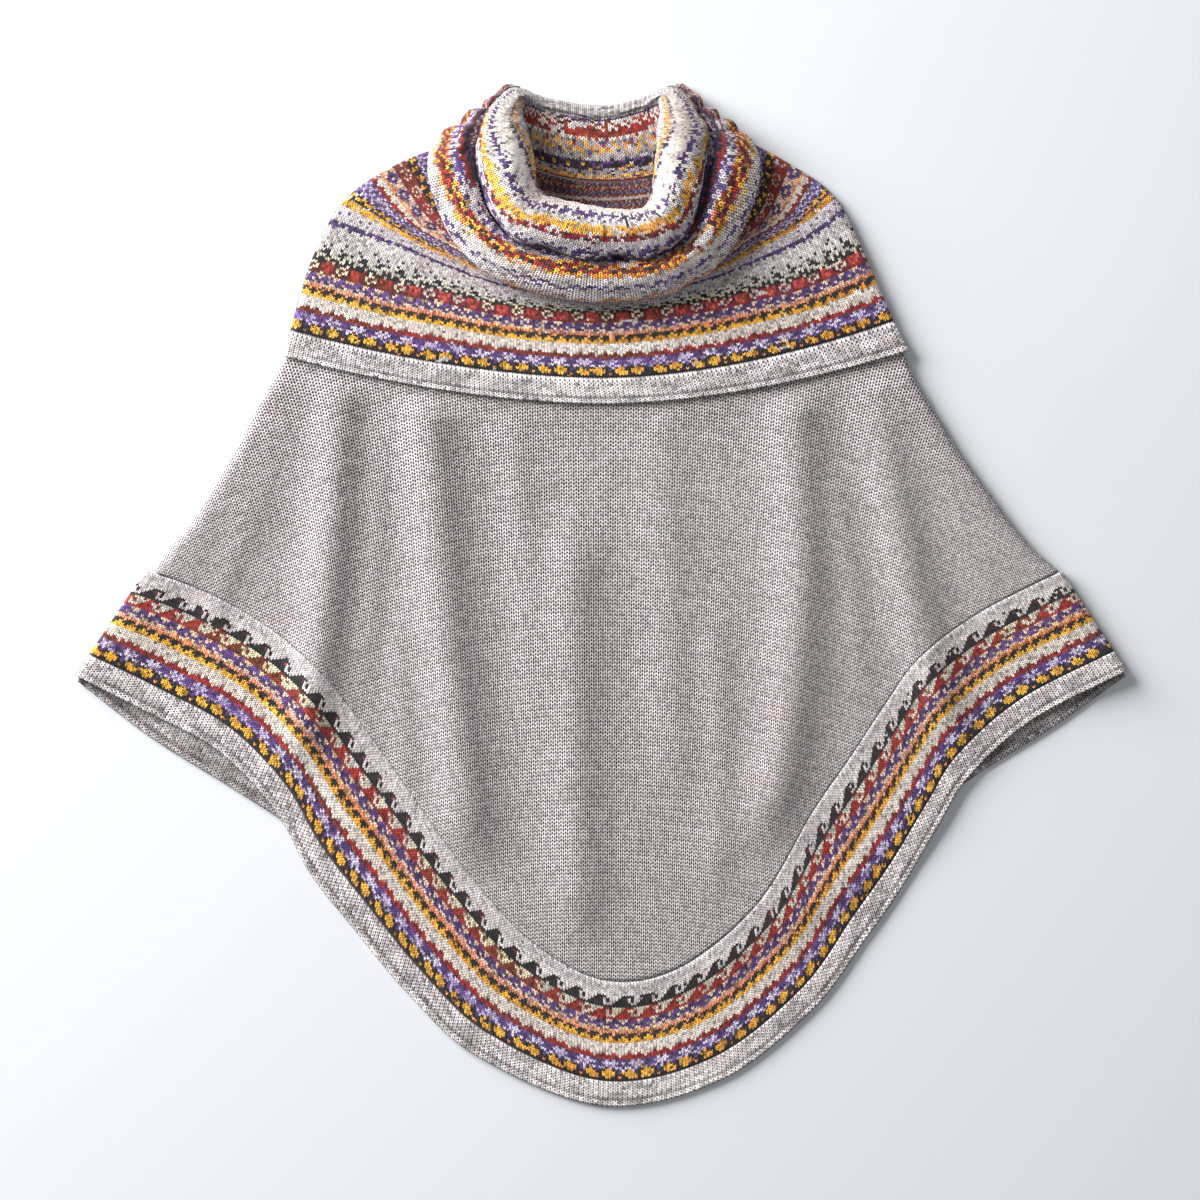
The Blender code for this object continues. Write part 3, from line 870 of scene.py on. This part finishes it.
def linear(colour):
    """An sRGB colour of 0 to 255 as the shader wants it."""
    colour = np.asarray(colour, float) / 255.0
    return np.where(colour <= 0.04045, colour / 12.92, ((colour + 0.055) / 1.055) ** 2.4)


TONES = {letter: linear(tones) for letter, tones in YARNS.items()}

# How strongly the stitches of a yarn differ. Pale yarn covers some patches, and tones drift.
FLECKS = {"g": 0.32, "p": 0.26, "w": 0.22, "c": 0.32}
PLAIN_FLECKS = 0.4
FLECK_SPREAD = 0.7
FLECK_LIMITS = (0.25, 1.6)
PALE_PATCHES = (2, 7)
PALE_SHARE = 0.75
DRIFT_PATCHES = (5, 22)


def soft_patches(rng, shape, spacing):
    """Smooth noise from 0 to 2, with a bend about every few courses and stitches."""
    knots = rng.uniform(0.0, 2.0, [size // step + 4 for size, step in zip(shape, spacing)])
    by_course = spline(knots, np.arange(shape[0]) / spacing[0])
    return np.clip(spline(by_course.T, np.arange(shape[1]) / spacing[1]).T, 0.0, 2.0)


def chart_letters(bands, stitches, rng):
    """The yarn of each stitch of each course, upward from the bands' first."""
    rows = []
    for band in bands:
        shift = int(rng.integers(0, len(band[0])))
        for line in band[::-1]:
            rows.append(list((line * (stitches // len(line) + 2))[shift:shift + stitches]))
    return np.array(rows)


def strayed(letters, share, rng):
    """The same letters, of which a share comes from a stitch nearby, as soft yarn works through."""
    courses, stitches = np.indices(letters.shape)
    strays = rng.uniform(size=letters.shape) < share
    courses = courses + strays * rng.integers(-1, 2, letters.shape)
    stitches = stitches + strays * rng.integers(-2, 3, letters.shape)
    return letters[np.clip(courses, 0, len(letters) - 1), stitches % letters.shape[1]]


def yarn_colours(letters, rng, fades=0.0):
    """Two colours for each stitch, one a leg. fades is the share that pale yarn covers in patches."""
    covered = soft_patches(rng, letters.shape, PALE_PATCHES) < 2.0 * fades
    letters = np.where(covered & (rng.uniform(size=letters.shape) < PALE_SHARE), "p", letters)
    drift = soft_patches(rng, letters.shape, DRIFT_PATCHES)
    colour = np.zeros(letters.shape + (3,))
    strength = np.full(letters.shape, PLAIN_FLECKS)
    for letter in np.unique(letters):
        here = letters == letter
        tones = TONES[str(letter)]
        place = drift[here][:, None]
        tone = tones[0] + (tones[1] - tones[0]) * np.minimum(place, 1.0)
        colour[here] = tone + (tones[2] - tones[1]) * np.maximum(place - 1.0, 0.0)
        strength[here] = FLECKS.get(str(letter), PLAIN_FLECKS)
    strength, colour = np.repeat(strength, 2, axis=1), np.repeat(colour, 2, axis=1)
    by_stitch = np.repeat(rng.normal(0.0, FLECK_SPREAD, letters.shape), 2, axis=1)
    fleck = 1.0 + strength * (by_stitch + rng.normal(0.0, FLECK_SPREAD, strength.shape))
    return colour * np.clip(fleck, *FLECK_LIMITS)[..., None]


def stitch_colours(bands, stitches, seed, strays=0.1, fades=0.0):
    rng = np.random.default_rng(seed)
    return yarn_colours(strayed(chart_letters(bands, stitches, rng), strays, rng), rng, fades)


# Shader groups: painted shade in the gaps between the stitches and painted light on their legs, and
# how the fibres and marl look.
HOLE_PAINTED_SHADE = 2.15
EDGE_PAINTED_SHADE = 0.18
VALLEY_PAINTED_SHADE = 0.4
CROSSING_PAINTED_SHADE = 1.8
LEG_PAINTED_LIGHT = 1.62
DEEPEST_PAINTED_SHADE = 0.06
FIBRE_SCALE = 1300.0
FIBRE_RISE = 0.3
BUMP = {"Strength": 0.7, "Distance": 0.0009}
MARL_DARK = (124, 115, 116)
MARL_LIGHT = (218, 208, 209)
MARL_STREAKS = (0.07, 0.9, 1.0)
LEG_SHARE = 0.5
STREAK_SHARE = 0.55
WOOL = {"Roughness": 0.92, "Sheen Weight": 0.18, "Sheen Roughness": 0.6, "Specular IOR Level": 0.25}


def new_group(name, kind, inputs, outputs):
    """A shader group whose sockets are all of one kind, and its two ends."""
    group = bpy.data.node_groups.new(name, "ShaderNodeTree")
    kind = "NodeSocket" + kind
    for label, value in inputs.items():
        group.interface.new_socket(label, in_out="INPUT", socket_type=kind).default_value = value
    for label in outputs:
        group.interface.new_socket(label, in_out="OUTPUT", socket_type=kind)
    return group, group.nodes.new("NodeGroupInput"), group.nodes.new("NodeGroupOutput")


def new_node(tree, kind, inputs, **settings):
    """A node with its settings. inputs has values, or sockets to link, by name or number."""
    node = tree.nodes.new("ShaderNode" + kind)
    for name, value in settings.items():
        setattr(node, name, value)
    for key, value in inputs.items():
        if isinstance(value, bpy.types.NodeSocket):
            tree.links.new(value, node.inputs[key])
        else:
            node.inputs[key].default_value = value
    return node


def math_node(tree, operation, *values, kind="Math"):
    return new_node(tree, kind, dict(enumerate(values)), operation=operation).outputs[0]


def stitch_places(tree):
    return new_node(tree, "UVMap", {}, uv_map="stitches").outputs[0]


def wave(tree, turns):
    """1 at whole turns and 0 halfway between them."""
    angle = math_node(tree, "MULTIPLY", turns, 2.0 * pi)
    half = math_node(tree, "MULTIPLY", math_node(tree, "COSINE", angle), 0.5)
    return math_node(tree, "ADD", half, 0.5)


def knit_group():
    """Leaning legs with painted shade in a hole at each end, or columns of stitches with painted shade
    in the holes between them.
    """
    inputs = {"Lean": 0.0, "Columns": 0.0}
    tree, given, made = new_group("knit stitches", "Float", inputs, ("Height", "Shade"))

    def times(first, second):
        return math_node(tree, "MULTIPLY", first, second)

    def plus(first, second):
        return math_node(tree, "ADD", first, second)

    def less(first, second):
        return math_node(tree, "SUBTRACT", first, second)

    across, along = new_node(tree, "SeparateXYZ", {0: stitch_places(tree)}).outputs[:2]
    off_middle = math_node(tree, "ABSOLUTE", less(math_node(tree, "FRACT", across), 0.5))
    loop_edge = wave(tree, less(along, times(off_middle, given.outputs["Lean"])))
    leg_edge = wave(tree, times(across, 2.0))
    holes = times(times(leg_edge, loop_edge), HOLE_PAINTED_SHADE)
    plain = plus(holes, times(plus(leg_edge, loop_edge), EDGE_PAINTED_SHADE))
    valley = wave(tree, across)
    crossings = times(times(valley, loop_edge), CROSSING_PAINTED_SHADE)
    columns = plus(times(valley, VALLEY_PAINTED_SHADE), crossings)
    gap = new_node(tree, "Mix", {0: given.outputs["Columns"], 2: plain, 3: columns}).outputs[0]
    place = new_node(tree, "TexCoord", {}).outputs["Object"]
    noise = new_node(tree, "TexNoise", {"Scale": FIBRE_SCALE, "Detail": 2.0, "Vector": place})
    height = less(times(noise.outputs["Fac"], FIBRE_RISE), gap)
    # Painted shade in the gaps and painted light on the legs, which scale the yarn's colour.
    shade = math_node(tree, "MAXIMUM", less(LEG_PAINTED_LIGHT, gap), DEEPEST_PAINTED_SHADE)
    tree.links.new(height, made.inputs["Height"])
    tree.links.new(shade, made.inputs["Shade"])
    return tree


def marl_group():
    """Grey marl: a draw for each leg of each stitch, and soft streaks along the courses."""
    inputs = {"Dark": (*linear(MARL_DARK), 1.0), "Light": (*linear(MARL_LIGHT), 1.0)}
    tree, given, made = new_group("grey marl", "Color", inputs, ("Colour",))

    def scaled(sizes):
        return math_node(tree, "MULTIPLY", stitch_places(tree), sizes, kind="VectorMath")

    legs = math_node(tree, "FLOOR", scaled((2.0, 1.0, 1.0)), kind="VectorMath")
    draw = new_node(tree, "TexWhiteNoise", {"Vector": legs}, noise_dimensions="2D")
    streaks = new_node(tree, "TexNoise", {"Scale": 1.0, "Detail": 3.0, "Vector": scaled(MARL_STREAKS)})
    by_leg = math_node(tree, "MULTIPLY", draw.outputs["Value"], LEG_SHARE)
    by_streak = math_node(tree, "MULTIPLY", streaks.outputs["Fac"], STREAK_SHARE)
    share = math_node(tree, "ADD", by_leg, by_streak)
    tones = {"Factor": share, 6: given.outputs["Dark"], 7: given.outputs["Light"]}
    mix = new_node(tree, "Mix", tones, data_type="RGBA")
    tree.links.new(mix.outputs[2], made.inputs["Colour"])
    return tree


KNIT = knit_group()
MARL = marl_group()


def wool_material(name, lean=0.0, columns=0.0, marled=False):
    """Soft matt wool in the stitches' own colours, or in grey marl, scaled by the knit group's painted
    shade and light.
    """
    material = bpy.data.materials.new(name)
    material.use_nodes = True
    tree = material.node_tree
    knit = new_node(tree, "Group", {"Lean": lean, "Columns": columns}, node_tree=KNIT)
    if marled:
        colour = new_node(tree, "Group", {}, node_tree=MARL).outputs["Colour"]
    else:
        colour = new_node(tree, "Attribute", {}, attribute_name="yarn").outputs["Color"]
    shade = {0: colour, "Scale": knit.outputs["Shade"]}
    shaded = new_node(tree, "VectorMath", shade, operation="SCALE")
    bump = new_node(tree, "Bump", {**BUMP, "Height": knit.outputs["Height"]})
    shader = tree.nodes["Principled BSDF"]
    tree.links.new(shaded.outputs[0], shader.inputs["Base Color"])
    tree.links.new(bump.outputs[0], shader.inputs["Normal"])
    for setting, value in WOOL.items():
        shader.inputs[setting].default_value = value
    return material


grey_knit = wool_material("grey marl plain knit", lean=1.0, marled=True)
pale_rib = wool_material("pale marl ribbing", columns=0.4)
hem_knit = wool_material("hem colour knit", columns=0.35)
yoke_knit = wool_material("yoke colour knit", columns=0.35)
collar_knit = wool_material("collar colour knit", columns=0.12)


# Pieces. Both sides of the garment are made alike, on their own sections and heights.
Side = namedtuple("Side", "sections height faces_up")
FRONT = Side(FRONT_SECTIONS, front_height, True)
BACK = Side(BACK_SECTIONS, back_height, False)
HEM_NICK = SEAM_GAP / 2 / HEM_DEPTH
YOKE_NICK = SEAM_GAP / 2 / YOKE_RIB_DEPTH


def stitch_lines(stitches):
    return np.linspace(0.0, 1.0, 2 * stitches + 1)


def rib_relief(rows, wide):
    """Ribs one stitch wide, and a chain edging behind a groove along the free edge."""
    middle = np.where(np.arange(wide) % 2 == 0, 1.0, -1.0)
    relief = np.tile(RIB_RELIEF * middle, (rows, 1))
    relief[:EDGING_COURSES] = EDGING_RELIEF
    relief[EDGING_COURSES] = GROOVE_RELIEF
    relief[:, [0, 1, 2, -3, -2, -1]] = 0.0
    return relief


def raised(face, relief, faces_up):
    normal = face_normals(face, False)
    return face + (normal if faces_up else -normal) * relief[..., None]


def rib_colours(stitches, seed):
    """Pale marl that lightens and darkens over a few stitches, and painted shade in the groove above
    the edging.
    """
    rng = np.random.default_rng(seed)
    letters = chart_letters((PALE,) * RIB_COURSES, stitches, rng)
    colours = yarn_colours(letters, rng)
    blotches = 1.0 + RIB_BLOTCHES * (soft_patches(rng, letters.shape, RIB_PATCHES) - 1.0)
    colours *= np.repeat(blotches, 2, axis=1)[..., None]
    # Painted shade in the groove above the edging.
    colours[EDGING_COURSES] *= GROOVE_PAINTED_SHADE
    return colours * RIB_TONE


def rib(name, curve, ups, stitches, height, faces_up, seed, every):
    face = lay_sheet(curve, ups, stitch_lines(stitches), height)
    face = raised(face, rib_relief(*face.shape[:2]), faces_up)
    colours = rib_colours(stitches, seed)
    return shell(name, face, RIB_WALL, colours, pale_rib, every, faces_up, free_edge=True)


def hem_rib(name, side, seed, every):
    curve = body_curve(side.sections)
    downs = np.linspace(2.0, RIB_STARTS + HEM_NICK, RIB_COURSES + 1)
    return rib(name, curve, downs, HEM_RIB_STITCHES, side.height, side.faces_up, seed, every)


def yoke_rib(name, front, seed, every):
    ups = np.linspace(0.0, 1.0 - YOKE_NICK, RIB_COURSES + 1)
    height = yoke_front_height if front else yoke_back_height
    return rib(name, yoke_curve(front), ups, YOKE_RIB_STITCHES, height, front, seed, every)


def body(name, side, columns, rows, every):
    """A plain panel, whose courses bow and whose wales lean in toward the hem."""
    downs = np.linspace(1.0 - LINKED_GAP / 2 / BODY_DEPTH, 0.0, rows)
    lines = np.linspace(0.0, 1.0, columns)
    face = lay_sheet(body_curve(side.sections), downs, lines, side.height, stitched=False)
    x, y = face[..., 0], face[..., 1]
    below = BODY_MIDDLE - y
    wales = x * (1.0 + BODY_FAN * below) + BODY_SKEW * x**3 * (below + BODY_SKEW_BELOW)
    stitches = np.stack([wales / BODY_WALE, (y + BODY_BOW * x**2) / BODY_COURSE], axis=-1)
    grey = np.tile(TONES["g"][0], (1, 1, 1))
    return shell(name, face, BODY_WALL, grey, grey_knit, every, side.faces_up, stitches=stitches)


def hem_band(name, side, stitches, seed, every):
    courses = sum(len(band) for band in HEM_BANDS)
    downs = np.linspace(RIB_STARTS - HEM_NICK, 1.0 + LINKED_GAP / 2 / HEM_DEPTH, courses + 1)
    face = lay_sheet(body_curve(side.sections), downs, stitch_lines(stitches), side.height)
    relief = np.zeros(face.shape[:2])
    relief[-len(RIDGE_RELIEF):] = np.array(RIDGE_RELIEF)[:, None]
    face = raised(face, relief, side.faces_up)
    colours = stitch_colours(HEM_BANDS, stitches, seed, strays=0.06)
    # Painted highlight and shade on alternate stitches, for the chain of loops along the ridge.
    colours[CHAIN_COURSES] *= np.where(np.arange(2 * stitches) % 4 < 2, *CHAIN_PAINTED_LIGHT_AND_SHADE)[:, None]
    return shell(name, face, BODY_WALL, colours, hem_knit, every, side.faces_up)


def yoke_front(name, seed, every):
    numbers = np.linspace(SEAM_GAP / 4, NECK_COURSE, NECK_COURSE + 1)
    face = lay_sheet(yoke_band_curve(), numbers, stitch_lines(YOKE_STITCHES), yoke_front_height)
    colours = stitch_colours(YOKE_BANDS, YOKE_STITCHES, seed, strays=0.07, fades=0.05)
    return shell(name, face, BODY_WALL, colours, yoke_knit, every)


def yoke_back(name, seed, every):
    ups = np.linspace(1.0 + YOKE_NICK, NECK_ROW, NECK_COURSE + 1)
    face = lay_sheet(yoke_curve(False), ups, stitch_lines(YOKE_STITCHES), yoke_back_height)
    colours = stitch_colours(BACK_YOKE_BANDS, YOKE_STITCHES, seed)
    return shell(name, face, BODY_WALL, colours, yoke_knit, every, faces_up=False)


def seam_points(places):
    """Points inside the wall at the neck seam, and the unit steps from there into the neck."""
    places = places % 1.0
    front = places <= 0.5
    across = np.where(front, 2.0 * places, 2.0 - 2.0 * places)
    row = YOKE_ROWS[NECK_ROW]
    both = []
    for side in (True, False):
        curve = yoke_curve(side)
        edge = curve(across, NECK_ROW)
        inside = edge - curve(across, NECK_ROW - SHORT_STEP)
        inside /= np.linalg.norm(inside, axis=-1, keepdims=True)
        line = curve(np.linspace(0.0, 1.0, NECK_POINTS), NECK_ROW)
        width = np.linalg.norm(np.diff(line, axis=0), axis=1).sum()
        inset = np.maximum(np.minimum(across, 1.0 - across) * width, 0.01)
        if side:
            level = row.level + (row.fold_height - row.level) * near_fold(inset)
            start = row.fold_height / 2 + SEAM_GAP / 2 + FOLD_LEG
            height = side_round(inset, start, row.fold_height, level) - BODY_WALL / 2
        else:
            height = side_round(inset, row.fold_height / 2 - FOLD_LEG, 0.0, 0.0) + BODY_WALL / 2
        turned = blend(1.0 - inset / FOLD_REACH)
        height = height + (row.fold_height / 2 - height) * turned
        toward_middle = np.where(across < 0.5, 1.0, -1.0)
        edge[:, 0] += toward_middle * turned * BODY_WALL / 2
        both.append((edge, inside, height))
    pick = front[:, None]
    edge = np.where(pick, both[0][0], both[1][0])
    inside = np.where(pick, both[0][1], both[1][1])
    return edge, inside, np.where(front, both[0][2], both[1][2])


def collar_sections(places):
    """Thirteen knots through the collar's wall at each place round the opening."""
    count = len(STATIONS)
    ring = []
    for index in range(-1, count + 2):
        sizes = np.array(STATIONS[index % count], float)
        sizes[0] -= index // count
        sizes[3] -= 360.0 * (index // count)
        ring.append(sizes)
    sizes = spline(ring, places + 1.0)
    seam, x, y, toward, reach1, top1, crease, reach2, top2, lies = sizes.T
    outward = np.stack([np.cos(np.radians(toward)), np.sin(np.radians(toward))], axis=-1)
    grown = blend((reach2 + TUCK_STARTS) / TUCK_GROWS)
    tuck = COLLAR_TUCK_BACK + (COLLAR_TUCK - COLLAR_TUCK_BACK) * grown
    opening = np.stack([x, y], axis=-1)

    def at(reach, height):
        place = opening + outward * (reach + 0 * x)[:, None]
        return np.concatenate([place, (height + 0 * x)[:, None]], axis=1)

    edge, inside, height = seam_points(seam)
    start = np.concatenate([edge + inside * COLLAR_GAP, height[:, None]], axis=1)
    flat = np.concatenate([edge + inside * (COLLAR_GAP + SEAM_FLAT), height[:, None]], axis=1)
    mouth = at(0.0, 0.7 * top1)
    inner = flat + (mouth - flat) * 0.36
    inner[:, 2] = flat[:, 2] + np.maximum(3.6, 0.45 * (mouth[:, 2] - flat[:, 2]))
    outer = reach1 + reach2
    # From the neck seam to the free edge, by shares of each roll's reach and of its drop.
    return np.array([
        start,
        flat,
        inner,
        mouth,
        at(0.4 * reach1, top1),
        at(0.9 * reach1, top1 - 0.35 * (top1 - crease)),
        at(0.97 * reach1, crease),
        at(reach1 + 0.25 * reach2, crease + 0.75 * (top2 - crease)),
        at(reach1 + 0.45 * reach2, top2),
        at(reach1 + 0.84 * reach2, top2 - 0.33 * (top2 - lies)),
        at(outer, lies + 0.42 * (top2 - lies)),
        at(outer - 0.2 * tuck, lies + 0.12 * (top2 - lies)),
        at(outer - tuck, lies),
    ])


def collar_letters(rng):
    """The collar's yarns: over the rim the bands slant, and behind the neck it stays pale."""
    inside, rim, outside = (
        chart_letters([band[::-1] for band in bands], COLLAR_STITCHES, rng)
        for bands in (COLLAR_INSIDE, COLLAR_RIM, COLLAR_OUTSIDE)
    )
    over = np.concatenate([rim, outside])
    station = np.arange(COLLAR_STITCHES) * len(STATIONS) / COLLAR_STITCHES
    course = np.arange(sum(COLLAR_COURSES[3:]))[:, None]
    slant = np.interp(station, SLANT_STATIONS, SLANT_COURSES)
    courses = course + np.round(len(rim) - slant).astype(int)
    laid = over[np.minimum(courses, len(over) - 1), np.arange(COLLAR_STITCHES)]
    laid[0] = np.where(rng.uniform(size=COLLAR_STITCHES) < RIM_ORANGE, "o", "p")
    behind = (station > BACK_RIM_STATIONS[0]) & (station < BACK_RIM_STATIONS[1])
    laid[:, behind] = np.where(np.arange(behind.sum()) % 2 == 0, "p", "g")
    return np.concatenate([inside, laid])


def collar_pads(station, knot):
    """How far the soft bumps stand out here."""
    rise = np.zeros(np.broadcast(station, knot).shape)
    for pad in COLLAR_PADS:
        turn = (station - pad.station + len(STATIONS) / 2) % len(STATIONS) - len(STATIONS) / 2
        rise += pad.height * np.exp(-((turn / pad.along) ** 2) - ((knot - pad.knot) / pad.across) ** 2)
    return rise


def collar(name, seed, every):
    columns = 2 * COLLAR_STITCHES
    rng = np.random.default_rng(seed)
    places = np.arange(columns) * len(STATIONS) / columns
    knots = collar_sections(places)
    rows = [0.0]
    for first, courses in enumerate(COLLAR_COURSES):
        rows += [first + (number + 1) / courses for number in range(courses)]
    rows = np.array(rows)
    # Every second line is knitted a little lower, so that each stitch is a V.
    steps = np.gradient(rows)
    steps[[0, -1]] = 0.0
    face = np.zeros((len(rows), columns, 3))
    face[:, 0::2] = spline(knots[:, 0::2], rows + LEG_RISE * steps)
    face[:, 1::2] = spline(knots[:, 1::2], rows - LEG_RISE * steps)
    face[..., 2] = np.maximum(face[..., 2], COLLAR_WALL / 2 + COLLAR_CLEAR)
    lumps = COLLAR_LUMPS * (soft_patches(rng, face.shape[:2], LUMP_PATCHES) - 1.0)
    lumps[:3] = 0.0
    out = COLLAR_WALL / 2 + collar_pads(places[None, :], rows[:, None]) + lumps
    face = face + face_normals(face, True) * out[..., None]
    letters = strayed(collar_letters(rng), COLLAR_STRAYS, rng)
    colours = COLLAR_TONE * yarn_colours(letters, rng, fades=0.14)
    return shell(name, face, COLLAR_WALL, colours, collar_knit, every, closed=True)


# How each piece is made: its side, its lines and rows or its stitches, the seed of its draws, and
# which rows and lines its inner face has.
MADE = {
    "body_front": (body, FRONT, 200, 120, (3, 3)),
    "body_back": (body, BACK, 120, 70, (2, 2)),
    "hem_band_front": (hem_band, FRONT, HEM_STITCHES, 11, (4, 5)),
    "hem_band_back": (hem_band, BACK, HEM_STITCHES_BACK, 13, (4, 5)),
    "hem_rib_front": (hem_rib, FRONT, 17, (2, 3)),
    "hem_rib_back": (hem_rib, BACK, 19, (1, 1)),
    "yoke_rib_front": (yoke_rib, True, 23, (2, 3)),
    "yoke_rib_back": (yoke_rib, False, 29, (2, 3)),
    "yoke_front": (yoke_front, 31, (5, 5)),
    "yoke_back": (yoke_back, 37, (1, 1)),
    "collar": (collar, 41, (3, 4)),
}

# Flat sizes in metres, the cut's area, and what each piece lies on.
CUTS = table(
    "node slot width length area lies_on",
    ("body_front", "grey_knit", 0.80, 0.54, 0.270, "body_back"),
    ("body_back", "grey_knit", 0.80, 0.44, 0.235, "yoke_back"),
    ("hem_band_front", "hem_pattern_knit", 1.18, 0.087, 0.101, "hem_band_back"),
    ("hem_band_back", "hem_pattern_knit", 1.07, 0.087, 0.091, None),
    ("hem_rib_front", "pale_rib_knit", 1.22, 0.024, 0.028, "hem_rib_back"),
    ("hem_rib_back", "pale_rib_knit", 1.12, 0.024, 0.026, None),
    ("yoke_rib_front", "pale_rib_knit", 0.57, 0.025, 0.014, "body_front"),
    ("yoke_rib_back", "pale_rib_knit", 0.57, 0.025, 0.014, None),
    ("yoke_front", "yoke_pattern_knit", 0.57, 0.22, 0.072, "body_front"),
    ("yoke_back", "yoke_pattern_knit", 0.57, 0.22, 0.076, None),
    ("collar", "collar_pattern_knit", 0.61, 0.18, 0.100, "yoke_front"),
)
for cut in CUTS:
    make, *how = MADE[cut.node]
    piece = make("knit_" + cut.node, *how)
    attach(piece, "root")
    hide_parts(cut.node)

# Floor, light and camera.
CAMERA_HEIGHT = 5.0
VIEW_WIDTH = 1.0512
VIEW_CENTRE = (-0.0009, -0.0053)
FLOOR_SIZE = 8.0
FLOOR_HEIGHT = -0.0004
FLOOR_COLOUR = (0.775, 0.79, 0.82, 1.0)
SKY_COLOUR = (0.92, 0.95, 1.0, 1.0)
SKY_STRENGTH = 0.2

bpy.ops.mesh.primitive_plane_add(size=FLOOR_SIZE, location=(0.0, 0.0, FLOOR_HEIGHT))
floor = bpy.context.object
floor.name = "floor"
floor_paint = bpy.data.materials.new("pale floor")
floor_paint.use_nodes = True
floor_look = floor_paint.node_tree.nodes["Principled BSDF"].inputs
floor_look["Base Color"].default_value = FLOOR_COLOUR
floor_look["Roughness"].default_value = 0.8
floor.data.materials.append(floor_paint)


def area_light(name, place, size, power):
    data = bpy.data.lights.new(name, "AREA")
    data.shape = "DISK"
    data.size = size
    data.energy = power
    light = bpy.data.objects.new(name, data)
    bpy.context.scene.collection.objects.link(light)
    light.location = place
    light.rotation_euler = (-light.location).to_track_quat("-Z", "Y").to_euler()


area_light("window light", (-2.95, 2.15, 1.65), size=3.0, power=384.0)
area_light("overhead fill", (0.4, -0.2, 3.0), size=2.4, power=10.0)
world = bpy.data.worlds.new("studio")
world.use_nodes = True
sky = world.node_tree.nodes["Background"].inputs
sky["Color"].default_value = SKY_COLOUR
sky["Strength"].default_value = SKY_STRENGTH
bpy.context.scene.world = world
bpy.context.scene.view_settings.view_transform = "Standard"

lens = bpy.data.cameras.new("camera")
lens.angle = 2.0 * atan(VIEW_WIDTH / 2.0 / CAMERA_HEIGHT)
camera = bpy.data.objects.new("camera", lens)
camera.location = (*VIEW_CENTRE, CAMERA_HEIGHT)
bpy.context.scene.collection.objects.link(camera)
bpy.context.scene.camera = camera
